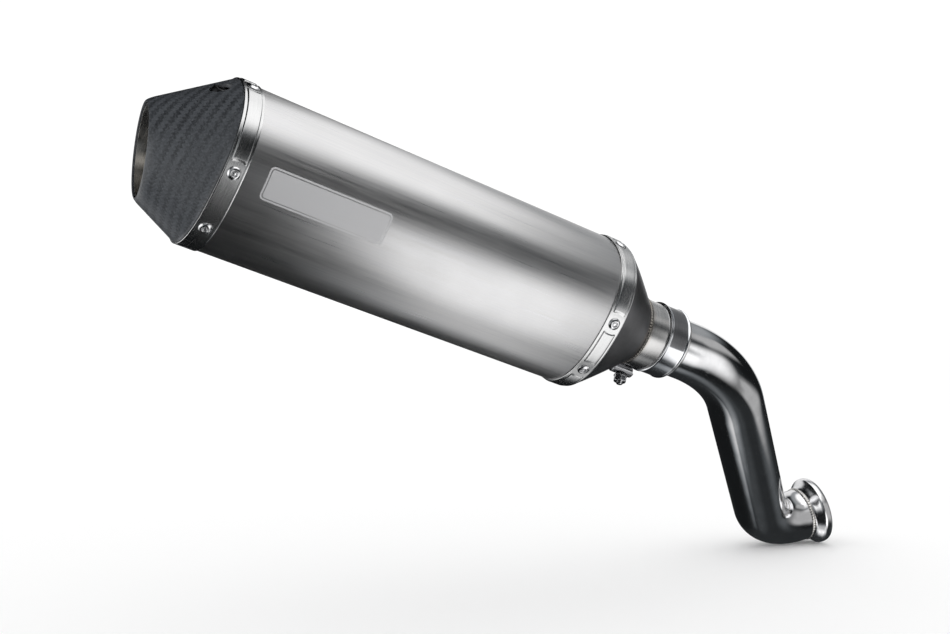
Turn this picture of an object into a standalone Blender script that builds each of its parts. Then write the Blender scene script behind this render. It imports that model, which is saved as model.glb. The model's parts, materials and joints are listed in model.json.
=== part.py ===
"""Slip-on motorcycle exhaust muffler with its clamp and link pipe.

Frame: metres. The origin is the centre of the flared header joint, +X points
forwards on the motorcycle, +Y to its left and +Z up. The muffler lies along its
own axis, which climbs towards the outlet at the rear, and its oval body leans
outwards. Every muffler piece is modelled in the muffler's own frame: x along the
axis towards the inlet, z along the oval's long axis, and the inlet neck's centre
as the origin.
"""

from math import asin, cos, hypot, pi, radians, sin, tan

import bmesh
import bpy
from mathutils import Matrix, Vector

GAP = 0.0003                       # clearance between pieces that touch

# Attitude of the muffler on the motorcycle
BODY_PITCH = radians(18.4)         # the outlet rises towards the rear
BODY_ROLL = radians(29.6)          # the oval's top leans outwards

# Oval body: a superellipse, 120 mm by 100 mm
OVAL_HALF_HEIGHT = 0.060
OVAL_HALF_WIDTH = 0.050
OVAL_POWER = 2.3
OVAL_Y = 0.0069                    # centre of the oval, from the neck's axis
OVAL_Z = -0.0025
OVAL_SEGMENTS = 48

# Stations along the muffler's axis
BAND_WIDTH = 0.015
OUTLET_BAND_X = -0.3775            # middle of each strap
INLET_BAND_X = -0.0625
SLEEVE_START = OUTLET_BAND_X - BAND_WIDTH / 2 + GAP
SLEEVE_END = INLET_BAND_X + BAND_WIDTH / 2 - GAP
SLEEVE_WALL = 0.0010

# Straps
BAND_WALL = 0.0006
BEAD_HEIGHT = 0.0006
BEAD_HALF_WIDTH = 0.0046
BEAD_SLOPE = 0.0010
BEAD_END_GAP = radians(12.5)       # from a rivet to the end of the bead
BAND_SEGMENTS = 60

# Rivets: angles from the top of the oval, towards the outboard side
RIVET_ANGLES = [radians(a) for a in (0.0, 73.0, 122.0, 180.0, 238.0, 287.0)]
RIVET_HEAD_RADIUS = 0.0040
RIVET_SHANK_RADIUS = 0.0024
RIVET_TAIL_RADIUS = 0.0033
RIVET_SEGMENTS = 10

# Carbon outlet cap, cut off by a plane that leans with the oval's long axis
CAP_WALL = 0.0018
SKIRT_WALL = 0.0015
SKIRT_LENGTH = 0.0137
RIM_X = -0.4281
RIM_DROP = 0.0097                  # rim centre below the oval's centre
RIM_RADIUS = 0.0336
RIM_SLANT = radians(14.3)

# Outlet tube, inner plate and perforated core
OUTLET_TUBE_RADIUS = 0.0315
TUBE_WALL = 0.0014
PLATE_X = -0.3668
PLATE_WALL = 0.0012
CORE_RADIUS = 0.0265
CORE_WALL = 0.0012
CORE_START = -0.3700
PACKING_START = PLATE_X + PLATE_WALL / 2 + 0.0030
PACKING_END = -0.0725

# Removable baffle and its screw
BAFFLE_START = -0.4090
BAFFLE_DEPTH = 0.0240
BAFFLE_WALL = 0.0012
BAFFLE_TUBE_RADIUS = 0.0180
BAFFLE_TUBE_END = -0.3050
BAFFLE_NOSE_LENGTH = 0.0150
BAFFLE_NOSE_RADIUS = 0.0100
SCREW_X = -0.3970
SCREW_RADIUS = 0.0030
SCREW_HEAD_RADIUS = 0.0050
SCREW_HEAD_HEIGHT = 0.0060
SCREW_HOLE_RADIUS = 0.0064         # access hole through the cap
BOSS_RADIUS = 0.0062
BOSS_TOP = 0.0455                  # above the oval's centre

# Inlet cone and neck
CONE_WALL = 0.0014
CONE_END = -0.0208
CONE_CURVE = 1.08                  # how late the dome turns in towards the neck
NECK_RADIUS = 0.0275
NECK_BORE = 0.0247
NECK_START = -0.0500
NECK_END = 0.0220
ROUND_SEGMENTS = 32

# T-bolt band clamp
CLAMP_WIDTH = 0.0195
CLAMP_WALL = 0.0010
CLAMP_SEGMENTS = 40
CLAMP_ANGLE = radians(-41.7)       # where the band's gap points, from +y
CLAMP_LUG_SPREAD = 0.0165          # from the gap's middle to each lug
CLAMP_BOLT_RADIUS = 0.0445         # from the neck's axis to the bolt
TRUNNION_RADIUS = 0.0040
TRUNNION_LENGTH = 0.0185
BOLT_RADIUS = 0.0029
BOLT_END = 0.0305                  # from the gap's middle to the bolt's tip
NUT_HEIGHT = 0.0060
NUT_RADIUS = 0.0057

# Link pipe: headings are (turn to the left, climb) in degrees
PIPE_RADIUS = 0.0243
PIPE_WALL = 0.0015
PIPE_INSERTION = 0.0250            # how far behind the neck's origin it starts
PIPE_HEADINGS = [(0.0, -18.4), (40.9, -39.7), (-11.2, 14.6)]
PIPE_STRAIGHTS = [0.0370, 0.1652, 0.0050]
PIPE_BENDS = [0.1240, 0.0474]
PIPE_SEGMENTS = 26
BEND_STEP = radians(8.5)

# Flared collar on the link pipe's front end
FLARE_LENGTH = 0.0160
FLARE_RADIUS = 0.0313
FLARE_MOUTH = 0.0270
LIP_DROP = 0.0020                  # how far the rim rolls in at its face
BELL_PROFILE = [                   # (share of the length, share of the rise)
    (0.15, 0.04), (0.30, 0.22), (0.45, 0.50), (0.60, 0.80), (0.72, 0.97), (0.84, 1.0), (0.94, 0.92),
]


# ---------------------------------------------------------------- materials

FINISHES = {
    # name: (colour, roughness, metallic)
    "titanium": ((0.46, 0.46, 0.47), 0.34, 1.0),
    "stainless": ((0.60, 0.60, 0.60), 0.26, 1.0),
    "polished_stainless": ((0.72, 0.72, 0.73), 0.10, 1.0),
    "carbon": ((0.035, 0.040, 0.048), 0.42, 0.0),
    "cone_steel": ((0.20, 0.20, 0.21), 0.42, 1.0),
    "inner_steel": ((0.42, 0.41, 0.39), 0.45, 1.0),
    "fastener_steel": ((0.70, 0.70, 0.71), 0.20, 1.0),
    "weld": ((0.38, 0.33, 0.28), 0.38, 1.0),
    "black_oxide": ((0.03, 0.03, 0.032), 0.40, 1.0),
    "glass_fibre": ((0.72, 0.68, 0.55), 0.95, 0.0),
}


def make_finish(name):
    colour, roughness, metallic = FINISHES[name]
    material = bpy.data.materials.new(name)
    material.use_nodes = True
    shader = material.node_tree.nodes["Principled BSDF"]
    shader.inputs["Base Color"].default_value = (*colour, 1.0)
    shader.inputs["Roughness"].default_value = roughness
    shader.inputs["Metallic"].default_value = metallic
    return material


# ---------------------------------------------------------- building blocks

def clear_scene():
    for item in list(bpy.data.objects):
        bpy.data.objects.remove(item, do_unlink=True)


def empty(name, parent=None):
    frame = bpy.data.objects.new(name, None)
    bpy.context.scene.collection.objects.link(frame)
    frame.parent = parent
    return frame


def add_object(name, bm, finish, parent, sharp=35.0):
    """Turn a bmesh into a smooth-shaded object with its material."""
    bmesh.ops.recalc_face_normals(bm, faces=bm.faces)
    mesh = bpy.data.meshes.new(name)
    bm.to_mesh(mesh)
    bm.free()
    mesh.shade_smooth()
    mesh.set_sharp_from_angle(angle=radians(sharp))
    if finish:
        mesh.materials.append(MATERIALS[finish])
    item = bpy.data.objects.new(name, mesh)
    bpy.context.scene.collection.objects.link(item)
    item.parent = parent
    return item


def loft_faces(bm, rings, closed=True):
    """Skin a list of point rings, joined end to start when closed."""
    loops = [[bm.verts.new(point) for point in ring] for ring in rings]
    count = len(loops)
    size = len(loops[0])
    for i in range(count if closed else count - 1):
        here = loops[i]
        there = loops[(i + 1) % count]
        for j in range(size):
            k = (j + 1) % size
            bm.faces.new((here[j], here[k], there[k], there[j]))
    return loops


def shell(name, rings, finish, parent):
    """A hollow body whose wall section is the closed list of rings."""
    bm = bmesh.new()
    loft_faces(bm, rings)
    return add_object(name, bm, finish, parent)


def turned(name, profile, segments, finish, parent):
    """Turn a closed (x, r) profile about the x axis."""
    bm = bmesh.new()
    points = [bm.verts.new((x, 0.0, r)) for x, r in profile]
    edges = [bm.edges.new((points[i], points[(i + 1) % len(points)]))
             for i in range(len(points))]
    bmesh.ops.spin(bm, geom=edges, axis=(1, 0, 0), cent=(0, 0, 0),
                   angle=2 * pi, steps=segments, use_merge=True)
    return add_object(name, bm, finish, parent)


def turned_solid(name, profile, segments, finish, parent):
    """Turn an open (z, r) profile, whose ends lie on the z axis, into a solid."""
    bm = bmesh.new()
    points = [bm.verts.new((r, 0.0, z)) for z, r in profile]
    edges = [bm.edges.new(pair) for pair in zip(points, points[1:])]
    bmesh.ops.spin(bm, geom=edges, axis=(0, 0, 1), cent=(0, 0, 0),
                   angle=2 * pi, steps=segments, use_merge=True)
    bmesh.ops.remove_doubles(bm, verts=bm.verts, dist=1e-6)
    return add_object(name, bm, finish, parent)


def cylinder_between(bm, start, end, radius, segments):
    """Add a closed cylinder from one point to another."""
    axis = end - start
    turn = axis.to_track_quat("Z", "X").to_matrix().to_4x4()
    place = Matrix.Translation((start + end) / 2) @ turn
    bmesh.ops.create_cone(bm, cap_ends=True, segments=segments, radius1=radius,
                          radius2=radius, depth=axis.length, matrix=place)


def make_cutter(name, bm, parent):
    cutter = add_object(name, bm, None, parent)
    cutter.hide_render = True
    cutter.display_type = "WIRE"
    return cutter


def cut(item, cutter):
    boolean = item.modifiers.new(cutter.name, "BOOLEAN")
    boolean.operation = "DIFFERENCE"
    boolean.solver = "EXACT"
    boolean.object = cutter


def section(points, x):
    """Place flat (y, z) points at station x."""
    return [Vector((x, y, z)) for y, z in points]


def circle(radius, y=0.0, z=0.0, segments=ROUND_SEGMENTS):
    angles = [2 * pi * i / segments for i in range(segments)]
    return [(y - radius * sin(a), z + radius * cos(a)) for a in angles]


# ------------------------------------------------------------- oval section

def oval_radius(angle, inset):
    """Polar radius of the oval, shrunk by inset, at an angle from its top."""
    across = abs(sin(angle)) / (OVAL_HALF_WIDTH - inset)
    up = abs(cos(angle)) / (OVAL_HALF_HEIGHT - inset)
    return (across ** OVAL_POWER + up ** OVAL_POWER) ** (-1 / OVAL_POWER)


def oval_point(angle, inset):
    radius = oval_radius(angle, inset)
    return (OVAL_Y - radius * sin(angle), OVAL_Z + radius * cos(angle))


def oval(inset, segments=OVAL_SEGMENTS):
    return [oval_point(2 * pi * i / segments, inset) for i in range(segments)]


def oval_normal(angle):
    """Outward direction of the oval's wall at an angle from its top."""
    y, z = oval_point(angle, 0.0)
    across = (y - OVAL_Y) / OVAL_HALF_WIDTH
    up = (z - OVAL_Z) / OVAL_HALF_HEIGHT
    slope_y = abs(across) ** (OVAL_POWER - 1) / OVAL_HALF_WIDTH
    slope_z = abs(up) ** (OVAL_POWER - 1) / OVAL_HALF_HEIGHT
    normal = Vector((0.0, slope_y if across > 0 else -slope_y,
                     slope_z if up > 0 else -slope_z))
    return normal.normalized()


# -------------------------------------------------------- sleeve and straps

def make_sleeve(parent):
    rings = [section(oval(0.0), SLEEVE_START), section(oval(0.0), SLEEVE_END),
             section(oval(SLEEVE_WALL), SLEEVE_END),
             section(oval(SLEEVE_WALL), SLEEVE_START)]
    return shell("titanium_sleeve", rings, "titanium", parent)


def bead_level(angle, spans):
    """Bead height from 0 to 1 at an angle, with a short run-out at its ends."""
    run_out = radians(3.0)
    level = 0.0
    for start, end in spans:
        inside = min(angle - start, end - angle)
        level = max(level, min(1.0, max(0.0, inside / run_out)))
    return level


def make_band(name, middle, spans, parent):
    """A riveted strap with a raised bead along the given spans of the oval."""
    inner = -GAP
    outer = -GAP - BAND_WALL
    half = BAND_WIDTH / 2
    foot = BEAD_HALF_WIDTH + BEAD_SLOPE
    outline = [(-half, inner, 0), (-half, outer, 0), (-foot, outer, 0),
               (-BEAD_HALF_WIDTH, outer, 1), (BEAD_HALF_WIDTH, outer, 1),
               (foot, outer, 0), (half, outer, 0), (half, inner, 0)]
    rings = []
    for offset, inset, on_bead in outline:
        ring = []
        for i in range(BAND_SEGMENTS):
            angle = 2 * pi * i / BAND_SEGMENTS
            rise = on_bead * BEAD_HEIGHT * bead_level(angle, spans)
            y, z = oval_point(angle, inset - rise)
            ring.append(Vector((middle + offset, y, z)))
        rings.append(ring)
    return shell(name, rings, "stainless", parent)


def bead_spans(pairs):
    """Angles covered by the bead between pairs of rivets."""
    return [(start + BEAD_END_GAP, end - BEAD_END_GAP) for start, end in pairs]


def rivet_seat(angle, middle):
    """Point on the sleeve under a rivet, and the way the rivet points."""
    y, z = oval_point(angle, 0.0)
    return Vector((middle, y, z)), oval_normal(angle)


def rivet_hole_cutter(name, middle, parent):
    bm = bmesh.new()
    for angle in RIVET_ANGLES:
        foot, normal = rivet_seat(angle, middle)
        cylinder_between(bm, foot - normal * 0.009, foot + normal * 0.006,
                         RIVET_SHANK_RADIUS + GAP, RIVET_SEGMENTS)
    return make_cutter(name, bm, parent)


def make_rivets(prefix, middle, grip, parent):
    """Blind rivets: a dished head outside, a shank, and a bulb inside."""
    head = GAP
    tail = -grip - GAP
    profile = [(head + 0.0007, 0.0), (head + 0.0007, 0.0013),
               (head + 0.0014, 0.0019), (head + 0.0012, 0.0031),
               (head, RIVET_HEAD_RADIUS), (head, RIVET_SHANK_RADIUS),
               (tail, RIVET_SHANK_RADIUS), (tail - 0.0004, RIVET_TAIL_RADIUS),
               (tail - 0.0020, RIVET_SHANK_RADIUS), (tail - 0.0022, 0.0)]
    for number, angle in enumerate(RIVET_ANGLES, start=1):
        foot, normal = rivet_seat(angle, middle)
        rivet = turned_solid(f"{prefix}_rivet_{number}", profile, RIVET_SEGMENTS,
                             "fastener_steel", parent)
        rivet.location = foot + normal * (GAP + BAND_WALL)
        rivet.rotation_euler = normal.to_track_quat("Z", "X").to_euler()


# ------------------------------------------------------------- outlet end

def rim_x(z):
    """Station of the slanted rim plane at height z."""
    return RIM_X - (z - OVAL_Z + RIM_DROP) * tan(RIM_SLANT)


def rim_ring(radius, depth):
    """Round outlet edge at a depth behind the slanted rim plane."""
    points = circle(radius, OVAL_Y, OVAL_Z - RIM_DROP, OVAL_SEGMENTS)
    return [Vector((rim_x(z) + depth, y, z)) for y, z in points]


def ring_between(base, rim, share):
    return [low.lerp(high, share) for low, high in zip(base, rim)]


def make_outlet_cap(parent):
    edge = OUTLET_BAND_X - BAND_WIDTH / 2 - GAP
    skirt_end = edge + SKIRT_LENGTH
    skirt_outer = SLEEVE_WALL + GAP
    skirt_inner = skirt_outer + SKIRT_WALL
    outer_base = section(oval(0.0006), edge - 0.0010)
    outer_rim = rim_ring(RIM_RADIUS, 0.0009)
    inner_base = section(oval(skirt_inner), edge - 0.0004)
    inner_rim = rim_ring(RIM_RADIUS - CAP_WALL, 0.0012)
    rings = [section(oval(skirt_outer), skirt_end), section(oval(skirt_outer), edge),
             section(oval(0.0), edge), outer_base,
             ring_between(outer_base, outer_rim, 0.5), outer_rim,
             rim_ring(RIM_RADIUS - 0.0006, 0.0),
             rim_ring(RIM_RADIUS - CAP_WALL + 0.0003, 0.0), inner_rim,
             ring_between(inner_base, inner_rim, 0.5), inner_base,
             section(oval(skirt_inner), skirt_end)]
    return shell("carbon_outlet_cap", rings, "carbon", parent)


def make_outlet_plate(parent):
    """Pressed oval plate: a flange round the edge and a hole for the core."""
    outer = SLEEVE_WALL + SKIRT_WALL + 2 * GAP
    inner = outer + PLATE_WALL
    flange_end = OUTLET_BAND_X - 0.0055
    front = PLATE_X + PLATE_WALL / 2
    back = PLATE_X - PLATE_WALL / 2
    hole = circle(CORE_RADIUS + 1.5 * GAP, OVAL_Y, OVAL_Z - RIM_DROP, OVAL_SEGMENTS)
    rings = [section(oval(outer), flange_end), section(oval(outer), front),
             section(hole, front), section(hole, back),
             section(oval(inner), back), section(oval(inner), flange_end)]
    return shell("outlet_inner_plate", rings, "inner_steel", parent)


def make_outlet_tube(parent):
    start = PLATE_X - PLATE_WALL / 2 - GAP
    outer = circle(OUTLET_TUBE_RADIUS, OVAL_Y, OVAL_Z - RIM_DROP, OVAL_SEGMENTS)
    inner = circle(OUTLET_TUBE_RADIUS - TUBE_WALL, OVAL_Y, OVAL_Z - RIM_DROP,
                   OVAL_SEGMENTS)
    rings = [section(outer, start), rim_ring(OUTLET_TUBE_RADIUS, 0.0015),
             rim_ring(OUTLET_TUBE_RADIUS - TUBE_WALL, 0.0015), section(inner, start)]
    return shell("outlet_tube", rings, "stainless", parent)


def core_centre(x):
    """Centre of the straight core tube, from the neck to the outlet tube."""
    share = (NECK_START - x) / (NECK_START - PLATE_X)
    return (OVAL_Y * share, (OVAL_Z - RIM_DROP) * share)


def core_ring(radius, x):
    return section(circle(radius, *core_centre(x)), x)


def perforation_cutter(name, stations, centre, radius, hole, around, parent):
    """Short radial pins that pierce a tube's wall, staggered row by row."""
    bm = bmesh.new()
    for row, x in enumerate(stations):
        middle = Vector((x, *centre(x)))
        for i in range(around):
            angle = 2 * pi * (i + 0.5 * (row % 2)) / around
            spoke = Vector((0.0, -sin(angle), cos(angle)))
            cylinder_between(bm, middle + spoke * (radius - 0.004),
                             middle + spoke * (radius + 0.002), hole, 6)
    return make_cutter(name, bm, parent)


def spread(start, end, count):
    return [start + (end - start) * i / (count - 1) for i in range(count)]


def make_core(parent):
    end = NECK_START - GAP
    inner = CORE_RADIUS - CORE_WALL
    rings = [core_ring(CORE_RADIUS, CORE_START), core_ring(CORE_RADIUS, end),
             core_ring(inner, end), core_ring(inner, CORE_START)]
    core = shell("perforated_core_tube", rings, "inner_steel", parent)
    stations = spread(-0.330, -0.090, 4)
    cut(core, perforation_cutter("core_holes", stations, core_centre, CORE_RADIUS,
                                 0.0040, 4, parent))
    return core


def make_packing(parent):
    outer = oval(SLEEVE_WALL + GAP)
    bore = [section(circle(CORE_RADIUS + GAP, *core_centre(x), OVAL_SEGMENTS), x)
            for x in (PACKING_END, PACKING_START)]
    rings = [section(outer, PACKING_START), section(outer, PACKING_END), *bore]
    return shell("glass_fibre_packing", rings, "glass_fibre", parent)


# ---------------------------------------------------- baffle and its screw

def make_baffle(parent):
    """Pressed cup, perforated tube and open nose, all about the x axis."""
    outer = OUTLET_TUBE_RADIUS - TUBE_WALL - GAP
    inner = outer - BAFFLE_WALL
    hole = BAFFLE_TUBE_RADIUS + GAP
    back = BAFFLE_START + BAFFLE_DEPTH
    turned("baffle_cup",
           [(back, outer), (BAFFLE_START + 0.0025, outer), (BAFFLE_START, outer - 0.0025),
            (BAFFLE_START, hole), (BAFFLE_START + BAFFLE_WALL, hole),
            (BAFFLE_START + BAFFLE_WALL, inner - 0.0020),
            (BAFFLE_START + 0.0032, inner), (back, inner)],
           ROUND_SEGMENTS, "stainless", parent)
    start = BAFFLE_START - 0.0010
    bore = BAFFLE_TUBE_RADIUS - BAFFLE_WALL
    tube = turned("baffle_tube",
                  [(BAFFLE_TUBE_END, BAFFLE_TUBE_RADIUS), (start, BAFFLE_TUBE_RADIUS),
                   (start, bore), (BAFFLE_TUBE_END, bore)],
                  24, "inner_steel", parent)
    stations = spread(BAFFLE_START + 0.036, BAFFLE_TUBE_END - 0.012, 4)
    cut(tube, perforation_cutter("baffle_holes", stations, lambda x: (0.0, 0.0),
                                 BAFFLE_TUBE_RADIUS, 0.0030, 5, parent))
    nose = BAFFLE_TUBE_END + GAP
    tip = nose + BAFFLE_NOSE_LENGTH
    turned("baffle_nose",
           [(tip, BAFFLE_NOSE_RADIUS), (nose + 0.003, BAFFLE_TUBE_RADIUS),
            (nose, BAFFLE_TUBE_RADIUS), (nose, bore), (nose + 0.003, bore),
            (tip, BAFFLE_NOSE_RADIUS - BAFFLE_WALL)],
           24, "inner_steel", parent)


def make_screw_boss(parent):
    """Threaded bush that stands on the outlet tube, under the cap's hole."""
    foot = -RIM_DROP + OUTLET_TUBE_RADIUS + GAP
    bore = SCREW_RADIUS + GAP
    bm = bmesh.new()
    corners = [(BOSS_TOP, bore), (BOSS_TOP, BOSS_RADIUS),
               (foot, BOSS_RADIUS), (foot, bore)]
    points = [bm.verts.new((r, 0.0, z)) for z, r in corners]
    edges = [bm.edges.new((points[i], points[(i + 1) % 4])) for i in range(4)]
    bmesh.ops.spin(bm, geom=edges, axis=(0, 0, 1), cent=(0, 0, 0), angle=2 * pi,
                   steps=20, use_merge=True)
    boss = add_object("baffle_screw_boss", bm, "inner_steel", parent)
    boss.location = (SCREW_X, OVAL_Y, OVAL_Z)
    return boss


def make_baffle_screw(parent):
    """Socket-head screw whose tip stops just short of the baffle's cup."""
    tip = -RIM_DROP + OUTLET_TUBE_RADIUS - TUBE_WALL
    seat = BOSS_TOP + GAP
    top = seat + SCREW_HEAD_HEIGHT
    profile = [(top - 0.0030, 0.0), (top - 0.0030, 0.0024), (top, 0.0024),
               (top, SCREW_HEAD_RADIUS - 0.0006), (top - 0.0006, SCREW_HEAD_RADIUS),
               (seat, SCREW_HEAD_RADIUS), (seat, SCREW_RADIUS),
               (tip + 0.0006, SCREW_RADIUS), (tip, SCREW_RADIUS - 0.0006), (tip, 0.0)]
    screw = turned_solid("baffle_screw", profile, 18, "black_oxide", parent)
    screw.location = (SCREW_X, OVAL_Y, OVAL_Z)
    return screw


def screw_hole_cutter(name, low, high, radius, parent):
    """A pin along the screw's axis, between two heights over the oval's centre."""
    bm = bmesh.new()
    foot = Vector((SCREW_X, OVAL_Y, OVAL_Z + low))
    head = Vector((SCREW_X, OVAL_Y, OVAL_Z + high))
    cylinder_between(bm, foot, head, radius, 18)
    return make_cutter(name, bm, parent)


# ---------------------------------------------------------- inlet end

def cone_ring(base, tip, share):
    """A ring of the domed cone: it runs to the neck along a curved slope."""
    turn_in = share ** CONE_CURVE
    ring = []
    for low, high in zip(base, tip):
        point = low.lerp(high, turn_in)
        point.x = low.x + (high.x - low.x) * share
        ring.append(point)
    return ring


def make_inlet_cone(parent):
    edge = INLET_BAND_X + BAND_WIDTH / 2 + GAP
    skirt_end = edge - SKIRT_LENGTH
    skirt_outer = SLEEVE_WALL + GAP
    skirt_inner = skirt_outer + CONE_WALL
    tip_outer = section(circle(NECK_RADIUS + GAP + 0.0012, 0.0, 0.0, OVAL_SEGMENTS),
                        CONE_END)
    tip_inner = section(circle(NECK_RADIUS + GAP, 0.0, 0.0, OVAL_SEGMENTS), CONE_END)
    outer_base = section(oval(0.0006), edge + 0.0016)
    inner_base = section(oval(skirt_inner), edge + 0.0002)
    shares = [0.2, 0.4, 0.6, 0.8]
    rings = [section(oval(skirt_outer), skirt_end), section(oval(skirt_outer), edge),
             section(oval(0.0), edge), outer_base]
    rings += [cone_ring(outer_base, tip_outer, s) for s in shares]
    rings += [tip_outer, tip_inner]
    rings += [cone_ring(inner_base, tip_inner, s) for s in reversed(shares)]
    rings += [inner_base, section(oval(skirt_inner), skirt_end)]
    return shell("inlet_cone", rings, "cone_steel", parent)


def make_neck(parent):
    turned("inlet_neck",
           [(NECK_END, NECK_RADIUS - 0.0004), (NECK_END - 0.0004, NECK_RADIUS),
            (NECK_START, NECK_RADIUS), (NECK_START, NECK_BORE), (NECK_END, NECK_BORE)],
           ROUND_SEGMENTS, "stainless", parent)
    start = CONE_END + GAP
    foot = NECK_RADIUS + GAP
    turned("neck_weld",
           [(start + 0.0036, foot), (start + 0.0030, foot + 0.0009),
            (start + 0.0018, foot + 0.0014), (start + 0.0005, foot + 0.0011),
            (start, foot)],
           ROUND_SEGMENTS, "weld", parent)


# ----------------------------------------------------------------- clamp

def strip_path():
    """Middle line of the clamp's strip, in the plane across the neck.

    It starts in one lug's loop, runs down the lug, once round the neck and up
    the other lug. The gap's middle lies along +y, and the loops hold the
    trunnions.
    """
    loop = TRUNNION_RADIUS + GAP + CLAMP_WALL / 2
    radius = NECK_RADIUS + GAP + CLAMP_WALL / 2
    leg = CLAMP_LUG_SPREAD - loop
    foot = asin(leg / radius)
    path = []
    for i in range(11):
        angle = pi - radians(24) * i
        path.append((CLAMP_BOLT_RADIUS + loop * sin(angle),
                     -CLAMP_LUG_SPREAD - loop * cos(angle)))
    path = [(y, z) for y, z in reversed(path)]
    for i in range(CLAMP_SEGMENTS + 1):
        angle = foot + (2 * pi - 2 * foot) * i / CLAMP_SEGMENTS
        path.append((radius * cos(angle), -radius * sin(angle)))
    path += [(y, -z) for y, z in reversed(path[:11])]
    return path


def thicken(path, wall):
    """Left and right edges of a strip that follows a path."""
    left = []
    right = []
    for i, point in enumerate(path):
        before = path[max(i - 1, 0)]
        after = path[min(i + 1, len(path) - 1)]
        along = (after[0] - before[0], after[1] - before[1])
        length = hypot(*along)
        side = (-along[1] / length * wall / 2, along[0] / length * wall / 2)
        left.append((point[0] + side[0], point[1] + side[1]))
        right.append((point[0] - side[0], point[1] - side[1]))
    return left, right


def make_clamp_band(parent):
    left, right = thicken(strip_path(), CLAMP_WALL)
    outline = left + right[::-1]
    bm = bmesh.new()
    near = [bm.verts.new((0.0, y, z)) for y, z in outline]
    far = [bm.verts.new((CLAMP_WIDTH, y, z)) for y, z in outline]
    count = len(outline)
    for i in range(count):
        j = (i + 1) % count
        bm.faces.new((near[i], near[j], far[j], far[i]))
    half = count // 2
    for i in range(half - 1):
        j = count - 1 - i
        bm.faces.new((near[i], near[i + 1], near[j - 1], near[j]))
        bm.faces.new((far[i], far[i + 1], far[j - 1], far[j]))
    band = add_object("clamp_band", bm, "polished_stainless", parent)
    slot = bmesh.new()
    middle = CLAMP_WIDTH / 2
    reach = CLAMP_LUG_SPREAD + TRUNNION_RADIUS + 0.004
    for side in (-1, 1):
        start = Vector((middle, CLAMP_BOLT_RADIUS, side * 0.004))
        end = Vector((middle, CLAMP_BOLT_RADIUS, side * reach))
        cylinder_between(slot, start, end, BOLT_RADIUS + 2 * GAP, 16)
    cut(band, make_cutter("clamp_slots", slot, parent))
    return band


def bar(name, radius, length, finish, parent):
    """A barrel along x, centred on its own origin."""
    bm = bmesh.new()
    half = Vector((length / 2, 0.0, 0.0))
    cylinder_between(bm, -half, half, radius, 20)
    return add_object(name, bm, finish, parent)


def make_clamp_hardware(parent, nut_parent):
    middle = CLAMP_WIDTH / 2
    trunnion = bar("clamp_trunnion", TRUNNION_RADIUS, TRUNNION_LENGTH,
                   "fastener_steel", parent)
    trunnion.location = (middle, CLAMP_BOLT_RADIUS, -CLAMP_LUG_SPREAD)
    hole = bmesh.new()
    reach = Vector((0.0, 0.0, TRUNNION_RADIUS + 0.002))
    centre = Vector(trunnion.location)
    cylinder_between(hole, centre - reach, centre + reach, BOLT_RADIUS + GAP, 16)
    cut(trunnion, make_cutter("trunnion_hole", hole, parent))

    t_bolt = bar("clamp_t_bolt", TRUNNION_RADIUS, TRUNNION_LENGTH, "fastener_steel",
                 parent)
    t_bolt.location = (middle, CLAMP_BOLT_RADIUS, CLAMP_LUG_SPREAD)
    shank = bmesh.new()
    start = Vector((middle, CLAMP_BOLT_RADIUS, CLAMP_LUG_SPREAD))
    end = Vector((middle, CLAMP_BOLT_RADIUS, -BOLT_END))
    cylinder_between(shank, start, end, BOLT_RADIUS, 16)
    shank_guide = make_cutter("t_bolt_shank", shank, parent)
    join = t_bolt.modifiers.new("shank", "BOOLEAN")
    join.operation = "UNION"
    join.solver = "EXACT"
    join.object = shank_guide

    shell("clamp_nut", nut_rings(), "fastener_steel", nut_parent)


def nut_rings():
    """Hexagon nut with a round bore along z, from its seat downwards."""
    corners = 3 * 6
    hexagon = []
    bore = []
    for i in range(corners):
        angle = 2 * pi * i / corners
        flat = cos(pi / 6) / cos(angle % (pi / 3) - pi / 6)
        hexagon.append((NUT_RADIUS * flat * cos(angle), NUT_RADIUS * flat * sin(angle)))
        hole = BOLT_RADIUS + GAP
        bore.append((hole * cos(angle), hole * sin(angle)))
    return [[Vector((x, y, z)) for x, y in outline]
            for outline, z in ((hexagon, 0.0), (hexagon, -NUT_HEIGHT),
                               (bore, -NUT_HEIGHT), (bore, 0.0))]


# ------------------------------------------------------------- link pipe

def heading(turn, climb):
    turn = radians(turn)
    climb = radians(climb)
    return Vector((cos(climb) * cos(turn), cos(climb) * sin(turn), sin(climb)))


def pipe_route():
    """Points and directions down the link pipe, from the neck's origin."""
    ways = [heading(*pair) for pair in PIPE_HEADINGS]
    point = Vector((0.0, 0.0, 0.0))
    route = [(point - ways[0] * PIPE_INSERTION, ways[0])]
    for i, way in enumerate(ways):
        point = point + way * PIPE_STRAIGHTS[i]
        route.append((point.copy(), way))
        if i == len(PIPE_BENDS):
            break
        axis = way.cross(ways[i + 1]).normalized()
        total = way.angle(ways[i + 1])
        inward = axis.cross(way)
        steps = max(2, round(total / BEND_STEP))
        start = point.copy()
        for k in range(1, steps + 1):
            angle = total * k / steps
            point = (start + way * PIPE_BENDS[i] * sin(angle)
                     + inward * PIPE_BENDS[i] * (1 - cos(angle)))
            turned_way = Matrix.Rotation(angle, 3, axis) @ way
            route.append((point.copy(), turned_way))
    return route


def pipe_ring(point, way, side, radius):
    up = side.cross(way)
    ring = []
    for i in range(PIPE_SEGMENTS):
        angle = 2 * pi * i / PIPE_SEGMENTS
        ring.append(point + (side * cos(angle) + up * sin(angle)) * radius)
    return ring


def make_link_pipe(route, parent):
    outer = []
    inner = []
    side = route[0][1].orthogonal().normalized()
    for point, way in route:
        side = (side - way * side.dot(way)).normalized()
        outer.append(pipe_ring(point, way, side, PIPE_RADIUS))
        inner.append(pipe_ring(point, way, side, PIPE_RADIUS - PIPE_WALL))
    return shell("link_pipe", outer + inner[::-1], "polished_stainless", parent)


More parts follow.
